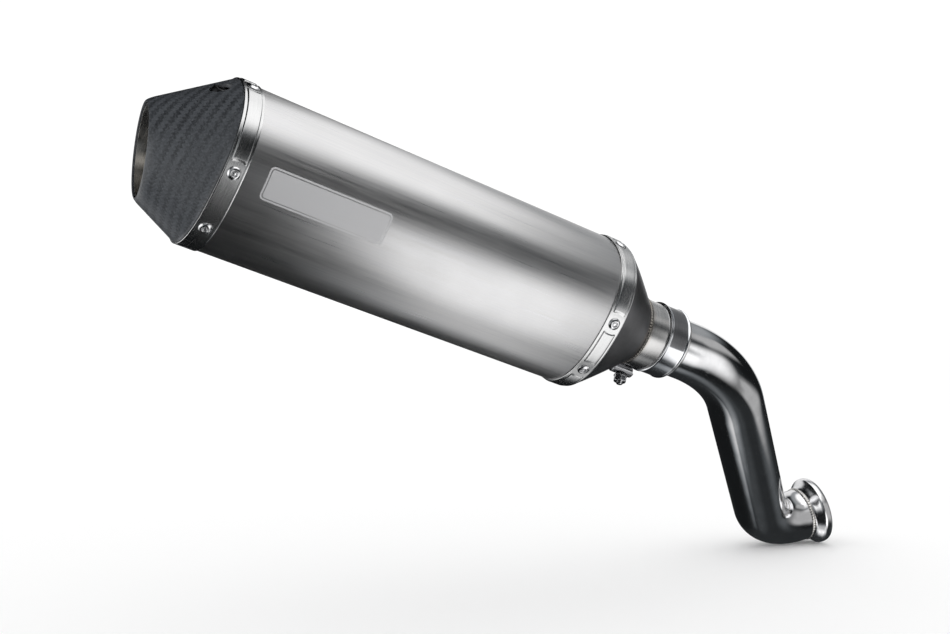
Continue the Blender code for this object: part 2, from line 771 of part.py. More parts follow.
def make_flare(parent):
    """Weld bead and flared collar, turned about x with the rim's face at x = 0."""
    start = -FLARE_LENGTH
    bore = PIPE_RADIUS - PIPE_WALL
    outer = [(start, PIPE_RADIUS)]
    inner = [(start, bore)]
    for share, swell in BELL_PROFILE:
        x = start + FLARE_LENGTH * share
        outer.append((x, PIPE_RADIUS + (FLARE_RADIUS - PIPE_RADIUS) * swell))
        inner.append((x, bore + (FLARE_MOUTH - bore) * swell ** 2))
    outer.append((0.0, FLARE_RADIUS - LIP_DROP))
    inner.append((0.0, FLARE_MOUTH))
    turned("flare_collar", (outer + inner[::-1])[::-1], ROUND_SEGMENTS,
           "polished_stainless", parent)
    foot = PIPE_RADIUS + GAP
    turned("flare_weld",
           [(start + 0.0012, foot), (start + 0.0007, foot + 0.0010),
            (start - 0.0007, foot + 0.0010), (start - 0.0012, foot)],
           ROUND_SEGMENTS, "weld", parent)


# -------------------------------------------------------------- assembly

def build():
    route = pipe_route()
    pipe_end, pipe_way = route[-1]
    rim = pipe_end + pipe_way * (FLARE_LENGTH + GAP)

    muffler = empty("muffler_frame")
    muffler.location = -rim
    muffler.rotation_euler = (BODY_ROLL, BODY_PITCH, 0.0)

    sleeve = make_sleeve(muffler)
    first, second, last = RIVET_ANGLES[1], RIVET_ANGLES[2], RIVET_ANGLES[-1]
    outlet_spans = bead_spans([(0.0, first), (last, 2 * pi)])
    inlet_spans = bead_spans(list(zip(RIVET_ANGLES, RIVET_ANGLES[1:] + [2 * pi])))
    outlet_band = make_band("outlet_band", OUTLET_BAND_X, outlet_spans, muffler)
    inlet_band = make_band("inlet_band", INLET_BAND_X, inlet_spans, muffler)
    cap = make_outlet_cap(muffler)
    plate = make_outlet_plate(muffler)
    tube = make_outlet_tube(muffler)
    cone = make_inlet_cone(muffler)
    make_neck(muffler)
    make_core(muffler)
    make_packing(muffler)

    outlet_holes = rivet_hole_cutter("outlet_rivet_holes", OUTLET_BAND_X, muffler)
    for item in (sleeve, outlet_band, cap, plate):
        cut(item, outlet_holes)
    inlet_holes = rivet_hole_cutter("inlet_rivet_holes", INLET_BAND_X, muffler)
    for item in (sleeve, inlet_band, cone):
        cut(item, inlet_holes)
    grip = BAND_WALL + SLEEVE_WALL + SKIRT_WALL + PLATE_WALL + 3 * GAP
    make_rivets("outlet", OUTLET_BAND_X, grip, muffler)
    grip = BAND_WALL + SLEEVE_WALL + CONE_WALL + 2 * GAP
    make_rivets("inlet", INLET_BAND_X, grip, muffler)

    make_screw_boss(muffler)
    make_baffle_screw(muffler)
    cut(tube, screw_hole_cutter("tube_screw_hole", 0.0, 0.030,
                                SCREW_RADIUS + GAP, muffler))
    cut(cap, screw_hole_cutter("cap_screw_hole", 0.035, 0.080,
                               SCREW_HOLE_RADIUS, muffler))

    baffle = empty("baffle_frame", muffler)
    baffle.location = (0.0, OVAL_Y, OVAL_Z - RIM_DROP)
    make_baffle(baffle)

    clamp = empty("clamp_frame", muffler)
    clamp.rotation_euler = (CLAMP_ANGLE, 0.0, 0.0)
    nut_frame = empty("clamp_nut_frame", clamp)
    nut_frame.location = (CLAMP_WIDTH / 2, CLAMP_BOLT_RADIUS,
                          -CLAMP_LUG_SPREAD - TRUNNION_RADIUS - CLAMP_WALL - 3 * GAP)
    make_clamp_band(clamp)
    make_clamp_hardware(clamp, nut_frame)

    pipe_frame = empty("pipe_frame")
    pipe_frame.location = -rim
    make_link_pipe(route, pipe_frame)
    flare = empty("flare_frame")
    flare.rotation_euler = pipe_way.to_track_quat("X", "Z").to_euler()
    make_flare(flare)


clear_scene()
MATERIALS = {name: make_finish(name) for name in FINISHES}
build()
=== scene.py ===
"""Looks for the slip-on muffler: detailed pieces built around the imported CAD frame."""

import json
import random
from collections import namedtuple
from math import asin, cos, hypot, pi, radians, sin, sqrt, tan

import bmesh
import bpy
from mathutils import Euler, Matrix, Vector


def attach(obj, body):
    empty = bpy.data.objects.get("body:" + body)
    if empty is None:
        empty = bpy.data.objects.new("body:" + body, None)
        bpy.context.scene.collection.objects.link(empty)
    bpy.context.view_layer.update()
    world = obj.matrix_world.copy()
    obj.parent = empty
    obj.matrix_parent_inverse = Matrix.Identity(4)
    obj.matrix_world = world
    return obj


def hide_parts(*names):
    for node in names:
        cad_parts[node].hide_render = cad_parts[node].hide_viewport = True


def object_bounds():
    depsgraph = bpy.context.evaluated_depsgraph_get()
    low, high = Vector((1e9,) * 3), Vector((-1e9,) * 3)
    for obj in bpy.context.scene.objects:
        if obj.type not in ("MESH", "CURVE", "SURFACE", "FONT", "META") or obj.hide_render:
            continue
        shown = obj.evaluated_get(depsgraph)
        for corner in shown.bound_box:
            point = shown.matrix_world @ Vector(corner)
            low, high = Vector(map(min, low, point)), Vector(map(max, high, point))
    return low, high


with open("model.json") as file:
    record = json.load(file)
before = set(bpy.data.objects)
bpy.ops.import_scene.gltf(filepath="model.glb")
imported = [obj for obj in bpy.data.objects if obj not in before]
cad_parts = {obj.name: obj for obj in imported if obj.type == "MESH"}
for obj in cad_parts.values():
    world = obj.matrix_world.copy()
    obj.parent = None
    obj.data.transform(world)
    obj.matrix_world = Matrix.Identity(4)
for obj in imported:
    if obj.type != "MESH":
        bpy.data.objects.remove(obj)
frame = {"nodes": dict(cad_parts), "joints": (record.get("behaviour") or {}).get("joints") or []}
cad_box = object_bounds()
random.seed(7)

# ---- sizes, as in the CAD part

GAP = 0.0003
BODY_PITCH = radians(18.4)
BODY_ROLL = radians(29.6)

OVAL_HALF_HEIGHT = 0.060
OVAL_HALF_WIDTH = 0.050
OVAL_POWER = 2.3
OVAL_Y = 0.0069
OVAL_Z = -0.0025

BAND_WIDTH = 0.015
OUTLET_BAND_X = -0.3775
INLET_BAND_X = -0.0625
SLEEVE_START = OUTLET_BAND_X - BAND_WIDTH / 2 + GAP
SLEEVE_END = INLET_BAND_X + BAND_WIDTH / 2 - GAP
SLEEVE_WALL = 0.0010
BAND_WALL = 0.0006
BEAD_HEIGHT = 0.0006
BEAD_HALF_WIDTH = 0.0046
RIVET_ANGLES = [radians(a) for a in (0.0, 73.0, 122.0, 180.0, 238.0, 287.0)]

CAP_WALL = 0.0018
SKIRT_WALL = 0.0015
SKIRT_LENGTH = 0.0137
RIM_X = -0.4281
RIM_DROP = 0.0097
RIM_Z = OVAL_Z - RIM_DROP
RIM_RADIUS = 0.0336
RIM_SLANT = radians(14.3)

OUTLET_TUBE_RADIUS = 0.0315
OUTLET_BORE = 0.0301
PLATE_X = -0.3668
PLATE_WALL = 0.0012

BAFFLE_START = -0.4090
BAFFLE_DEPTH = 0.0240
BAFFLE_WALL = 0.0012
BAFFLE_TUBE_RADIUS = 0.0180
BAFFLE_TUBE_END = -0.3050
BAFFLE_NOSE_LENGTH = 0.0150
BAFFLE_NOSE_RADIUS = 0.0100
SCREW_X = -0.3970
SCREW_RADIUS = 0.0030
SCREW_HEAD_RADIUS = 0.0050
SCREW_HEAD_HEIGHT = 0.0060
SCREW_HOLE_RADIUS = 0.0064
BOSS_TOP = 0.0455

CONE_WALL = 0.0014
CONE_END = -0.0208
CONE_CURVE = 1.08
NECK_RADIUS = 0.0275
NECK_BORE = 0.0247
NECK_START = -0.0500
NECK_END = 0.0220

CLAMP_WIDTH = 0.0195
CLAMP_WALL = 0.0010
CLAMP_ANGLE = radians(-41.7)
CLAMP_LUG_SPREAD = 0.0165
CLAMP_BOLT_RADIUS = 0.0445
TRUNNION_RADIUS = 0.0040
TRUNNION_LENGTH = 0.0185
BOLT_RADIUS = 0.0029
BOLT_END = 0.0305
NUT_HEIGHT = 0.0060
NUT_RADIUS = 0.0057

PIPE_RADIUS = 0.0243
PIPE_WALL = 0.0015
PIPE_INSERTION = 0.0250
PIPE_HEADINGS = [(0.0, -18.4), (40.9, -39.7), (-11.2, 14.6)]
PIPE_STRAIGHTS = [0.0370, 0.1652, 0.0050]
PIPE_BENDS = [0.1240, 0.0474]
FLARE_LENGTH = 0.0160
FLARE_RADIUS = 0.0313
FLARE_MOUTH = 0.0270
BELL_RISE = FLARE_RADIUS - PIPE_RADIUS
LIP_ROUND = 0.0036
LIP_DROP = 0.0022

# ---- placement

JOINTS = {joint["name"]: joint for joint in frame["joints"]}
NECK = Vector(JOINTS["silencer_turn"]["pos_m"])
MUFFLER = Matrix.Translation(NECK) @ Euler((BODY_ROLL, BODY_PITCH, 0.0)).to_matrix().to_4x4()
BAFFLE = MUFFLER @ Matrix.Translation((0.0, OVAL_Y, RIM_Z))
SCREW = MUFFLER @ Matrix.Translation((SCREW_X, OVAL_Y, OVAL_Z))
CLAMP = MUFFLER @ Matrix.Rotation(CLAMP_ANGLE, 4, "X")
NUT = CLAMP @ Matrix.Translation((CLAMP_WIDTH / 2, CLAMP_BOLT_RADIUS,
                                  -CLAMP_LUG_SPREAD - TRUNNION_RADIUS - CLAMP_WALL - 3 * GAP))
PLACES = {"silencer": MUFFLER, "baffle": BAFFLE, "baffle_screw": SCREW, "clamp": CLAMP,
          "clamp_nut": NUT, "link_pipe": Matrix.Translation(NECK)}


# ---- shader nodes

class Value:
    """A number or vector inside a material; arithmetic on it adds math nodes."""

    def __init__(self, look, socket):
        self.look = look
        self.socket = socket

    def __add__(self, other):
        return self.look.math("ADD", self, other)

    def __sub__(self, other):
        return self.look.math("SUBTRACT", self, other)

    def __rsub__(self, other):
        return self.look.math("SUBTRACT", other, self)

    def __mul__(self, other):
        return self.look.math("MULTIPLY", self, other)

    def __pow__(self, power):
        return self.look.math("POWER", self, power)

    def __abs__(self):
        return self.look.math("ABSOLUTE", self)

    __radd__ = __add__
    __rmul__ = __mul__


class Look:
    """A Principled material, with short calls that add nodes to it."""

    def __init__(self, name, colour, roughness, metallic=1.0, **sockets):
        self.material = bpy.data.materials.new(name)
        self.material.use_nodes = True
        self.tree = self.material.node_tree
        self.shader = self.tree.nodes["Principled BSDF"]
        self.set("Base Color", (*colour, 1.0))
        self.set("Roughness", roughness)
        self.set("Metallic", metallic)
        for socket, value in sockets.items():
            self.set(socket.replace("_", " "), value)
        self.raw = Value(self, self.node("TexCoord").outputs["Object"])
        back = MUFFLER.inverted()
        self.place = self.mapped((1.0, 1.0, 1.0), back.translation, back.to_euler(), self.raw)

    def feed(self, socket, value):
        value = getattr(value, "socket", value)
        if isinstance(value, bpy.types.NodeSocket):
            self.tree.links.new(value, socket)
        else:
            socket.default_value = value

    def set(self, name, value):
        self.feed(self.shader.inputs[name], value)

    def node(self, kind, *values, **settings):
        """Add a node, set its properties and feed its first inputs in order."""
        node = self.tree.nodes.new("ShaderNode" + kind)
        for name, setting in settings.items():
            setattr(node, name, setting)
        for socket, value in zip(node.inputs, values):
            self.feed(socket, value)
        return node

    def math(self, operation, first, second=0.0, third=0.0):
        node = self.node("Math", first, second, third, operation=operation)
        return Value(self, node.outputs[0])

    def mapped(self, scale, offset=(0.0, 0.0, 0.0), turn=(0.0, 0.0, 0.0), source=None):
        node = self.node("Mapping", source or self.place, offset, turn, scale)
        return Value(self, node.outputs[0])

    def split(self, source=None):
        node = self.node("SeparateXYZ", source or self.place)
        return [Value(self, socket) for socket in node.outputs]

    def join(self, x, y, z):
        return Value(self, self.node("CombineXYZ", x, y, z).outputs[0])

    def noise(self, scale, detail=2.0, roughness=0.5, **placing):
        """Noise at a scale for each axis or for all, or over a vector of its own."""
        if isinstance(scale, float):
            scale = (scale, scale, scale)
        vector = scale if isinstance(scale, Value) else self.mapped(scale, **placing)
        node = self.node("TexNoise", vector)
        for name, value in (("Scale", 1.0), ("Detail", detail), ("Roughness", roughness)):
            node.inputs[name].default_value = value
        return Value(self, node.outputs["Fac"])

    def remap(self, value, low, high, new_low=0.0, new_high=1.0, smooth=False):
        kind = "SMOOTHSTEP" if smooth else "LINEAR"
        node = self.node("MapRange", value, low, high, new_low, new_high,
                         interpolation_type=kind)
        return Value(self, node.outputs[0])

    def fade(self, value, start, end, top=1.0):
        """A smooth fall from top to nothing."""
        return self.remap(value, start, end, top, 0.0, smooth=True)

    def spread(self, noise, new_low=0.0, new_high=1.0):
        """Stretch the middle of a noise, where nearly all of it lies."""
        return self.remap(noise, 0.3, 0.7, new_low, new_high)

    def mix(self, share, first, second):
        node = self.node("Mix", share, data_type="RGBA")
        for socket, value in ((node.inputs[6], first), (node.inputs[7], second)):
            self.feed(socket, (*value, 1.0) if isinstance(value, tuple) else value)
        return Value(self, node.outputs[2])

    def bump(self, height, strength, distance, before=None):
        node = self.node("Bump", strength, distance)
        self.feed(node.inputs["Height"], height)
        if before is not None:
            self.feed(node.inputs["Normal"], before)
        return Value(self, node.outputs[0])

    def brushed(self, around):
        """Stretch highlights across a brushing that runs round or along the body."""
        axis = self.node("VectorTransform", MUFFLER.to_3x3() @ Vector((1.0, 0.0, 0.0)),
                         vector_type="VECTOR", convert_from="OBJECT", convert_to="WORLD")
        tangent = axis.outputs[0]
        if not around:
            normal = self.node("NewGeometry").outputs["Normal"]
            cross = self.node("VectorMath", tangent, normal, operation="CROSS_PRODUCT")
            tangent = cross.outputs[0]
        self.set("Tangent", tangent)

    def finish(self, colour, roughness, normal=None):
        self.set("Base Color", colour)
        self.set("Roughness", roughness)
        if normal is not None:
            self.set("Normal", normal)
        return self.material


# ---- materials

CAP_CONE_ANGLE = radians(25.0)
CAP_APEX_X = -0.4970
TOW_WIDTH = 0.0023                 # of the carbon cloth's yarns
PLY = 0.0003
PANEL_X = -0.3085                  # middle of the etched panel on the sleeve
PANEL_ANGLE = radians(71.0)
PANEL_HALF_LENGTH = 0.047
PANEL_HALF_HEIGHT = 0.0115
PANEL_CORNER = 0.0035
PANEL_LINE = 0.0016                # from the panel's edge to the line inside it
MARK_ANGLE = radians(34.0)         # middle of the clamp's blank field
LUG_START = NECK_RADIUS + 0.0030


def oval_angle(look):
    """Place along the body, and angle from the oval's top towards the outboard side."""
    x, y, z = look.split()
    return x, look.math("ARCTAN2", OVAL_Y - y, z - OVAL_Z)


def neck_distance(look, y, z):
    return look.math("SQRT", y ** 2.0 + z ** 2.0)


def panel_mask(look):
    """1 inside a plain rounded panel etched on the sleeve, 0 outside."""
    x, angle = oval_angle(look)
    across = abs((angle - PANEL_ANGLE) * OVAL_HALF_WIDTH)
    dx = abs(x - PANEL_X) - (PANEL_HALF_LENGTH - PANEL_CORNER)
    dy = across - (PANEL_HALF_HEIGHT - PANEL_CORNER)
    outside = look.math("SQRT", look.math("MAXIMUM", dx, 0.0) ** 2.0
                        + look.math("MAXIMUM", dy, 0.0) ** 2.0)
    inside = look.math("MINIMUM", look.math("MAXIMUM", dx, dy), 0.0)
    distance = outside + inside - PANEL_CORNER
    solid = look.fade(distance, -0.00025, 0.00015)
    # a thin polished line inside the border
    return solid * look.remap(abs(distance + PANEL_LINE), 0.0002, 0.0004, smooth=True)


def titanium_look():
    """Titanium brushed along the body, with a frosted panel."""
    look = Look("titanium_brushed", (0.5, 0.5, 0.51), 0.34, Anisotropic=0.55)
    look.brushed(around=False)
    broad = look.noise((11.0, 620.0, 620.0), 3.0, 0.6)
    fine = look.noise((45.0, 3200.0, 3200.0), 2.0, 0.6)
    cloud = look.noise((22.0, 30.0, 30.0))
    streak = broad * 0.6 + fine * 0.4
    mask = panel_mask(look)
    metal = look.mix(look.spread(streak), (0.46, 0.46, 0.47), (0.56, 0.555, 0.55))
    metal = look.mix(mask * 0.9, metal, (0.60, 0.60, 0.61))
    look.set("Metallic", look.remap(mask, 0.0, 1.0, 1.0, 0.55))
    rough = look.spread(streak, 0.26, 0.38) + look.spread(cloud, -0.02, 0.02) + mask * 0.26
    return look.finish(metal, rough, look.bump(streak, 0.16, 0.00012))


def turned_look(name, light, dark, rough, groove, tint=None):
    """Metal brushed round the axis, as off a lathe or a linishing belt."""
    look = Look(name, light, rough, Anisotropic=0.45)
    look.brushed(around=True)
    broad = look.noise((900.0, 16.0, 16.0), 3.0, 0.6)
    fine = look.noise((4200.0, 45.0, 45.0), 2.0, 0.6)
    scuff = look.noise(34.0, 3.0)
    line = broad * 0.5 + fine * 0.5
    metal = look.mix(look.spread(line), dark, light)
    if tint:
        metal = tint(look, metal)
    rough = look.spread(line, rough - 0.04, rough + 0.04) + look.spread(scuff, -0.02, 0.03)
    return look.finish(metal, rough, look.bump(line, groove, 0.00004))


def weld_tint(look, metal):
    """Straw, brown and blue heat bands that fade away from the neck's weld."""
    weld = CONE_END + 0.0016
    away = abs(look.split()[0] - weld) + look.spread(look.noise(40.0), -0.0012, 0.0012)
    blue = look.fade(away, 0.0020, 0.0032, 0.22)
    straw = look.fade(away, 0.0022, 0.0050, 0.30)
    return look.mix(blue, look.mix(straw, metal, (0.32, 0.26, 0.19)), (0.16, 0.15, 0.19))


def marked_field_and_painted_shade(look):
    """1 inside the blank field where a clamp's size would be marked, painted darker partly for
    its etching and partly as painted shade.
    """
    x, y, z = look.split()
    along = abs(x - (CLAMP_WIDTH / 2 + 0.0003))
    around = abs(look.math("ARCTAN2", y * -1.0, z) - MARK_ANGLE)
    inside = (look.fade(along, 0.0066, 0.0076)
              * look.fade(around, radians(40.0), radians(42.5)))
    return inside * look.math("LESS_THAN", neck_distance(look, y, z), LUG_START)


def loop_painted_shade(look):
    """1 on the clamp's loops, painted near black as shade, 0 on its round."""
    _, y, z = look.split()
    edge = neck_distance(look, y, z) + look.spread(look.noise(240.0, 3.0), -0.0010, 0.0010)
    return look.remap(edge, LUG_START, LUG_START + 0.0030, smooth=True)


def polished_look(name, colour, rough, scratch, field=None):
    """Mirror-polished steel with fine hairlines and faint smudges."""
    look = Look(name, colour, rough)
    swirl = look.noise(70.0, 4.0, 0.6)
    hair_a = look.noise((60.0, 2600.0, 500.0), 2.0, 0.6, turn=(0.3, 0.2, 0.5))
    hair_b = look.noise((500.0, 80.0, 2600.0), 2.0, 0.6, turn=(0.7, -0.4, 0.2))
    hair = look.math("MAXIMUM", look.remap(hair_a, 0.62, 0.74), look.remap(hair_b, 0.62, 0.74))
    dim = tuple(c * 0.86 for c in colour)
    metal = look.mix(look.remap(swirl, 0.35, 0.7), colour, dim)
    dull = look.remap(swirl, 0.3, 0.75, rough, rough + 0.06) + hair * (0.07 * scratch)
    if field:
        mask = field(look)
        grain = look.noise((1800.0, 60.0, 60.0), 3.0, 0.6)
        etched_and_painted_shade = look.mix(look.spread(grain), (0.085, 0.085, 0.09), (0.16, 0.16, 0.165))
        loop_shade = loop_painted_shade(look)
        # painted shade: the marked field is darkened partly for its etching and partly to stand
        # for shade
        metal = look.mix(mask * 0.9, metal, etched_and_painted_shade)
        # painted shade: the clamp's loops are darkened towards near black
        metal = look.mix(loop_shade * 0.85, metal, (0.10, 0.10, 0.105))
        dull = dull + mask * 0.20 + loop_shade * 0.10
    ripple = look.bump(look.noise(32.0, 1.0), 0.10, 0.0012)
    return look.finish(metal, dull, look.bump(hair, 0.05 * scratch, 0.00003, ripple))


def carbon_look():
    """Satin two-by-two twill, its ribs running nearly round the cap."""
    look = Look("carbon_twill", (0.03, 0.035, 0.042), 0.4, 0.0, Specular_IOR_Level=0.5,
                Coat_Weight=0.25, Coat_Roughness=0.28)
    x, angle = oval_angle(look)
    # the cap is a cone; unrolled flat, the cloth's ribs run straight across it
    unrolled = (angle - pi / 2) * sin(CAP_CONE_ANGLE)
    reach = (x - CAP_APEX_X) * (1 / cos(CAP_CONE_ANGLE))
    side = reach * look.math("SINE", unrolled)
    front = reach * look.math("COSINE", unrolled)
    u = (side + front) * (sqrt(0.5) / TOW_WIDTH)
    v = (front - side) * (sqrt(0.5) / TOW_WIDTH)
    step = look.math("FLOORED_MODULO", look.math("FLOOR", u) + look.math("FLOOR", v), 4.0)
    over = look.math("LESS_THAN", step, 1.5)
    under = 1.0 - over
    u_in = abs(look.math("FRACT", u) - 0.5)
    v_in = abs(look.math("FRACT", v) - 0.5)
    crown = 1.0 - (u_in * over + v_in * under) ** 2.0 * 3.0
    fibre_a = look.noise(look.join(u * 9.0, v * 0.6, 0.0))
    fibre_b = look.noise(look.join(u * 0.6, v * 9.0, 3.0))
    fibre = fibre_a * over + fibre_b * under
    haze = look.noise(55.0, 4.0, 0.6)
    drape = look.noise(38.0, offset=(0.4, 0.1, 0.7))
    thread = look.noise(640.0, 3.0, 0.75)
    shade = over * 0.62 + fibre * 0.38
    shade = 0.5 + (shade - 0.5) * look.remap(drape, 0.38, 0.62, 0.3, 1.0)
    base = look.mix(shade, (0.008, 0.010, 0.013), (0.060, 0.066, 0.075))
    base = look.mix(look.remap(thread, 0.45, 0.65, 0.0, 0.45), base, (0.100, 0.108, 0.120))
    base = look.mix(look.remap(haze, 0.4, 0.75, 0.0, 0.30), base, (0.055, 0.061, 0.070))
    rough = look.remap(shade, 0.0, 1.0, 0.47, 0.36) + look.spread(haze, -0.03, 0.05)
    resin = look.bump(look.noise(1700.0), 0.10, 0.00010)
    return look.finish(base, rough, look.bump(crown + fibre * 0.35, 0.36, 0.00022, resin))


def carbon_edge_look():
    """Cut and sealed edge of the laminate: thin plies under gloss resin."""
    look = Look("carbon_edge", (0.04, 0.043, 0.05), 0.3, 0.0)
    plies = look.math("SINE", look.split()[0] * (2 * pi / PLY))
    grain = look.noise((2000.0, 200.0, 200.0))
    resin = look.mix(look.remap(plies + grain, -1.0, 2.0), (0.03, 0.032, 0.036),
                     (0.12, 0.125, 0.135))
    return look.finish(resin, look.spread(grain, 0.22, 0.36))


def satin_look(name, colour, rough, grain, tint=None):
    """Blasted or dark satin steel with a soft mottle."""
    look = Look(name, colour, rough)
    speck = look.noise(1500.0)
    cloud = look.noise(28.0, 4.0, 0.55)
    dark, light = (tuple(c * factor for c in colour) for factor in (0.78, 1.3))
    metal = look.mix(look.spread(cloud), dark, light)
    if tint:
        metal = tint(look, metal)
    rough = look.spread(speck, rough - 0.04, rough + 0.04) + look.spread(cloud, -0.03, 0.04)
    return look.finish(metal, rough, look.bump(speck, grain, 0.00006))


def weld_look(name, dark, light, rough, oxide):
    """Weld metal with straw oxide in its ripples."""
    look = Look(name, light, rough)
    patch = look.noise(220.0, 3.0, 0.6)
    drift = look.remap(look.noise(50.0), 0.35, 0.65, 0.0, oxide)
    metal = look.mix(look.spread(patch), dark, light)
    metal = look.mix(drift, metal, (0.26, 0.20, 0.13))
    return look.finish(metal, look.spread(patch, rough - 0.08, rough + 0.08),
                       look.bump(patch, 0.25, 0.0002))


def fibre_look():
    """Pale yellow glass wool."""
    look = Look("glass_fibre_wool", (0.74, 0.70, 0.56), 0.95, 0.0)
    strand = look.noise((120.0, 1400.0, 1400.0), 4.0, 0.7)
    clump = look.noise(160.0, 3.0)
    wool = look.mix(look.spread(strand), (0.50, 0.46, 0.34), (0.86, 0.83, 0.70))
    fluff = look.bump(strand, 0.8, 0.0008, look.bump(clump, 0.5, 0.002))
    return look.finish(wool, look.spread(clump, 0.85, 1.0), fluff)


LOOKS = {
    "titanium": titanium_look(),
    "band": turned_look("band_stainless", (0.58, 0.58, 0.58), (0.50, 0.50, 0.50), 0.24, 0.05),
    "tube": turned_look("tube_stainless", (0.56, 0.54, 0.51), (0.36, 0.35, 0.33), 0.22, 0.12),
    "neck": turned_look("neck_stainless", (0.54, 0.535, 0.53), (0.49, 0.485, 0.48), 0.24, 0.025,
                        weld_tint),
    "baffle": turned_look("baffle_stainless", (0.58, 0.57, 0.56), (0.46, 0.45, 0.44), 0.30, 0.14),
    "inner": satin_look("inner_steel_plain", (0.42, 0.41, 0.39), 0.42, 0.18),
    "carbon": carbon_look(),
    "carbon_edge": carbon_edge_look(),
    "cone": satin_look("cone_satin", (0.19, 0.19, 0.195), 0.42, 0.12, weld_tint),
    "rivet": polished_look("rivet_bright", (0.72, 0.72, 0.73), 0.16, 2.0),
    # painted shade: the polished steel of the bolt, nut and bar is given a much darker colour
    # than the clamp's
    "hardware": polished_look("hardware_painted_shade", (0.42, 0.42, 0.43), 0.16, 1.4),
    "clamp": polished_look("clamp_polished", (0.76, 0.77, 0.79), 0.10, 1.4, marked_field_and_painted_shade),
    "pipe": polished_look("pipe_polished", (0.78, 0.78, 0.79), 0.06, 1.0),
    "flare": polished_look("flare_polished", (0.78, 0.78, 0.79), 0.15, 1.0),
    "weld": weld_look("weld_tinted", (0.13, 0.125, 0.12), (0.26, 0.25, 0.235), 0.34, 0.16),
    "flare_weld": weld_look("weld_bright", (0.46, 0.45, 0.44), (0.70, 0.69, 0.67), 0.22, 0.10),
    "screw": satin_look("screw_black", (0.028, 0.028, 0.030), 0.34, 0.2),
    "fibre": fibre_look(),
}


# ---- building blocks

def new_mesh(name, bm):
    mesh = bpy.data.meshes.new(name)
    bm.to_mesh(mesh)
    bm.free()
    return mesh


def new_object(name, data):
    item = bpy.data.objects.new(name, data)
    bpy.context.scene.collection.objects.link(item)
    return item


def turns(count):
    return [2 * pi * i / count for i in range(count)]


def polar(z, radii):
    """A ring about z with a radius for each equal step of angle."""
    return [Vector((r * cos(a), r * sin(a), z)) for r, a in zip(radii, turns(len(radii)))]


def loft(rings, closed=True):
    """Skin rings of points; a ring of one point closes the skin to a pole."""
    bm = bmesh.new()
    loops = [[bm.verts.new(point) for point in ring] for ring in rings]
    count = len(loops)
    for i in range(count if closed else count - 1):
        here = loops[i]
        there = loops[(i + 1) % count]
        size = max(len(here), len(there))
        for j in range(size):
            k = (j + 1) % size
            if len(here) == 1:
                bm.faces.new((here[0], there[k], there[j]))
            elif len(there) == 1:
                bm.faces.new((here[j], here[k], there[0]))
            else:
                bm.faces.new((here[j], here[k], there[k], there[j]))
    return bm


def rounded(profile, steps=4):
    """Round the corners of a closed outline given as (a, b, fillet) points."""
    out = []
    count = len(profile)
    for i, (a, b, fillet) in enumerate(profile):
        if fillet <= 0.0:
            out.append((a, b))
            continue
        corner = Vector((a, b))
        before = Vector(profile[i - 1][:2]) - corner
        after = Vector(profile[(i + 1) % count][:2]) - corner
        reach = min(fillet, before.length * 0.48, after.length * 0.48)
        start = corner + before.normalized() * reach
        end = corner + after.normalized() * reach
        for k in range(steps + 1):
            t = k / steps
            point = start * (1 - t) ** 2 + corner * 2 * t * (1 - t) + end * t * t
            out.append((point.x, point.y))
    return out


def about_x(profile, segments):
    """Rings of a closed (x, r) outline turned about the x axis."""
    return [section(circle(r, segments), x) for x, r in profile]


def lathe(profile, segments, steps=4):
    """A closed (x, r, fillet) outline turned about the x axis."""
    return loft(about_x(rounded(profile, steps), segments))


def about_z(profile, segments):
    """Rings of an open (z, r) outline turned about z; r = 0 makes a pole."""
    return [polar(z, [r] * segments) if r else [up(z)] for z, r in profile]


def piece(name, bm, body, look, node, sharp=32.0, place=None):
    """Finish a mesh as a visible piece that stands for a CAD node."""
    bm.transform(PLACES[body] if place is None else place)
    bmesh.ops.recalc_face_normals(bm, faces=bm.faces)
    item = new_object(name, new_mesh(name, bm))
    item.data.shade_smooth()
    item.data.set_sharp_from_angle(angle=radians(sharp))
    item.data.materials.append(LOOKS[look])
    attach(item, body)
    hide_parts(node)
    return item


def pierce(item, place, pins, sharp=32.0):
    """Drill pins, each (start, end, radius, segments), out of a piece for good."""
    bm = bmesh.new()
    for start, end, radius, segments in pins:
        axis = end - start
        turn = axis.to_track_quat("Z", "X").to_matrix().to_4x4()
        bmesh.ops.create_cone(bm, cap_ends=True, segments=segments, radius1=radius,
                              radius2=radius, depth=axis.length,
                              matrix=Matrix.Translation((start + end) / 2) @ turn)
    bmesh.ops.recalc_face_normals(bm, faces=bm.faces)
    tool = new_object("tool", new_mesh("tool", bm))
    tool.matrix_world = place
    boolean = item.modifiers.new("pierce", "BOOLEAN")
    boolean.operation = "DIFFERENCE"
    boolean.solver = "EXACT"
    boolean.object = tool
    bpy.context.view_layer.update()
    depsgraph = bpy.context.evaluated_depsgraph_get()
    result = bpy.data.meshes.new_from_object(item.evaluated_get(depsgraph))
    item.modifiers.clear()
    item.data = result
    result.shade_smooth()
    result.set_sharp_from_angle(angle=radians(sharp))
    bpy.data.objects.remove(tool)


RING_STEPS = 192                   # round the cap, the cone and the outlet


def up(z):
    return Vector((0.0, 0.0, z))


def section(points, x):
    return [Vector((x, y, z)) for y, z in points]


def circle(radius, segments, y=0.0, z=0.0):
    return [(y - radius * sin(a), z + radius * cos(a)) for a in turns(segments)]


def oval_radius(angle, inset):
    across = abs(sin(angle)) / (OVAL_HALF_WIDTH - inset)
    upright = abs(cos(angle)) / (OVAL_HALF_HEIGHT - inset)
    return (across ** OVAL_POWER + upright ** OVAL_POWER) ** (-1 / OVAL_POWER)


def oval_point(angle, inset):
    radius = oval_radius(angle, inset)
    return (OVAL_Y - radius * sin(angle), OVAL_Z + radius * cos(angle))


def oval(inset, x, segments=RING_STEPS):
    """The oval section, drawn in by an inset, at a place along the body."""
    return section([oval_point(angle, inset) for angle in turns(segments)], x)


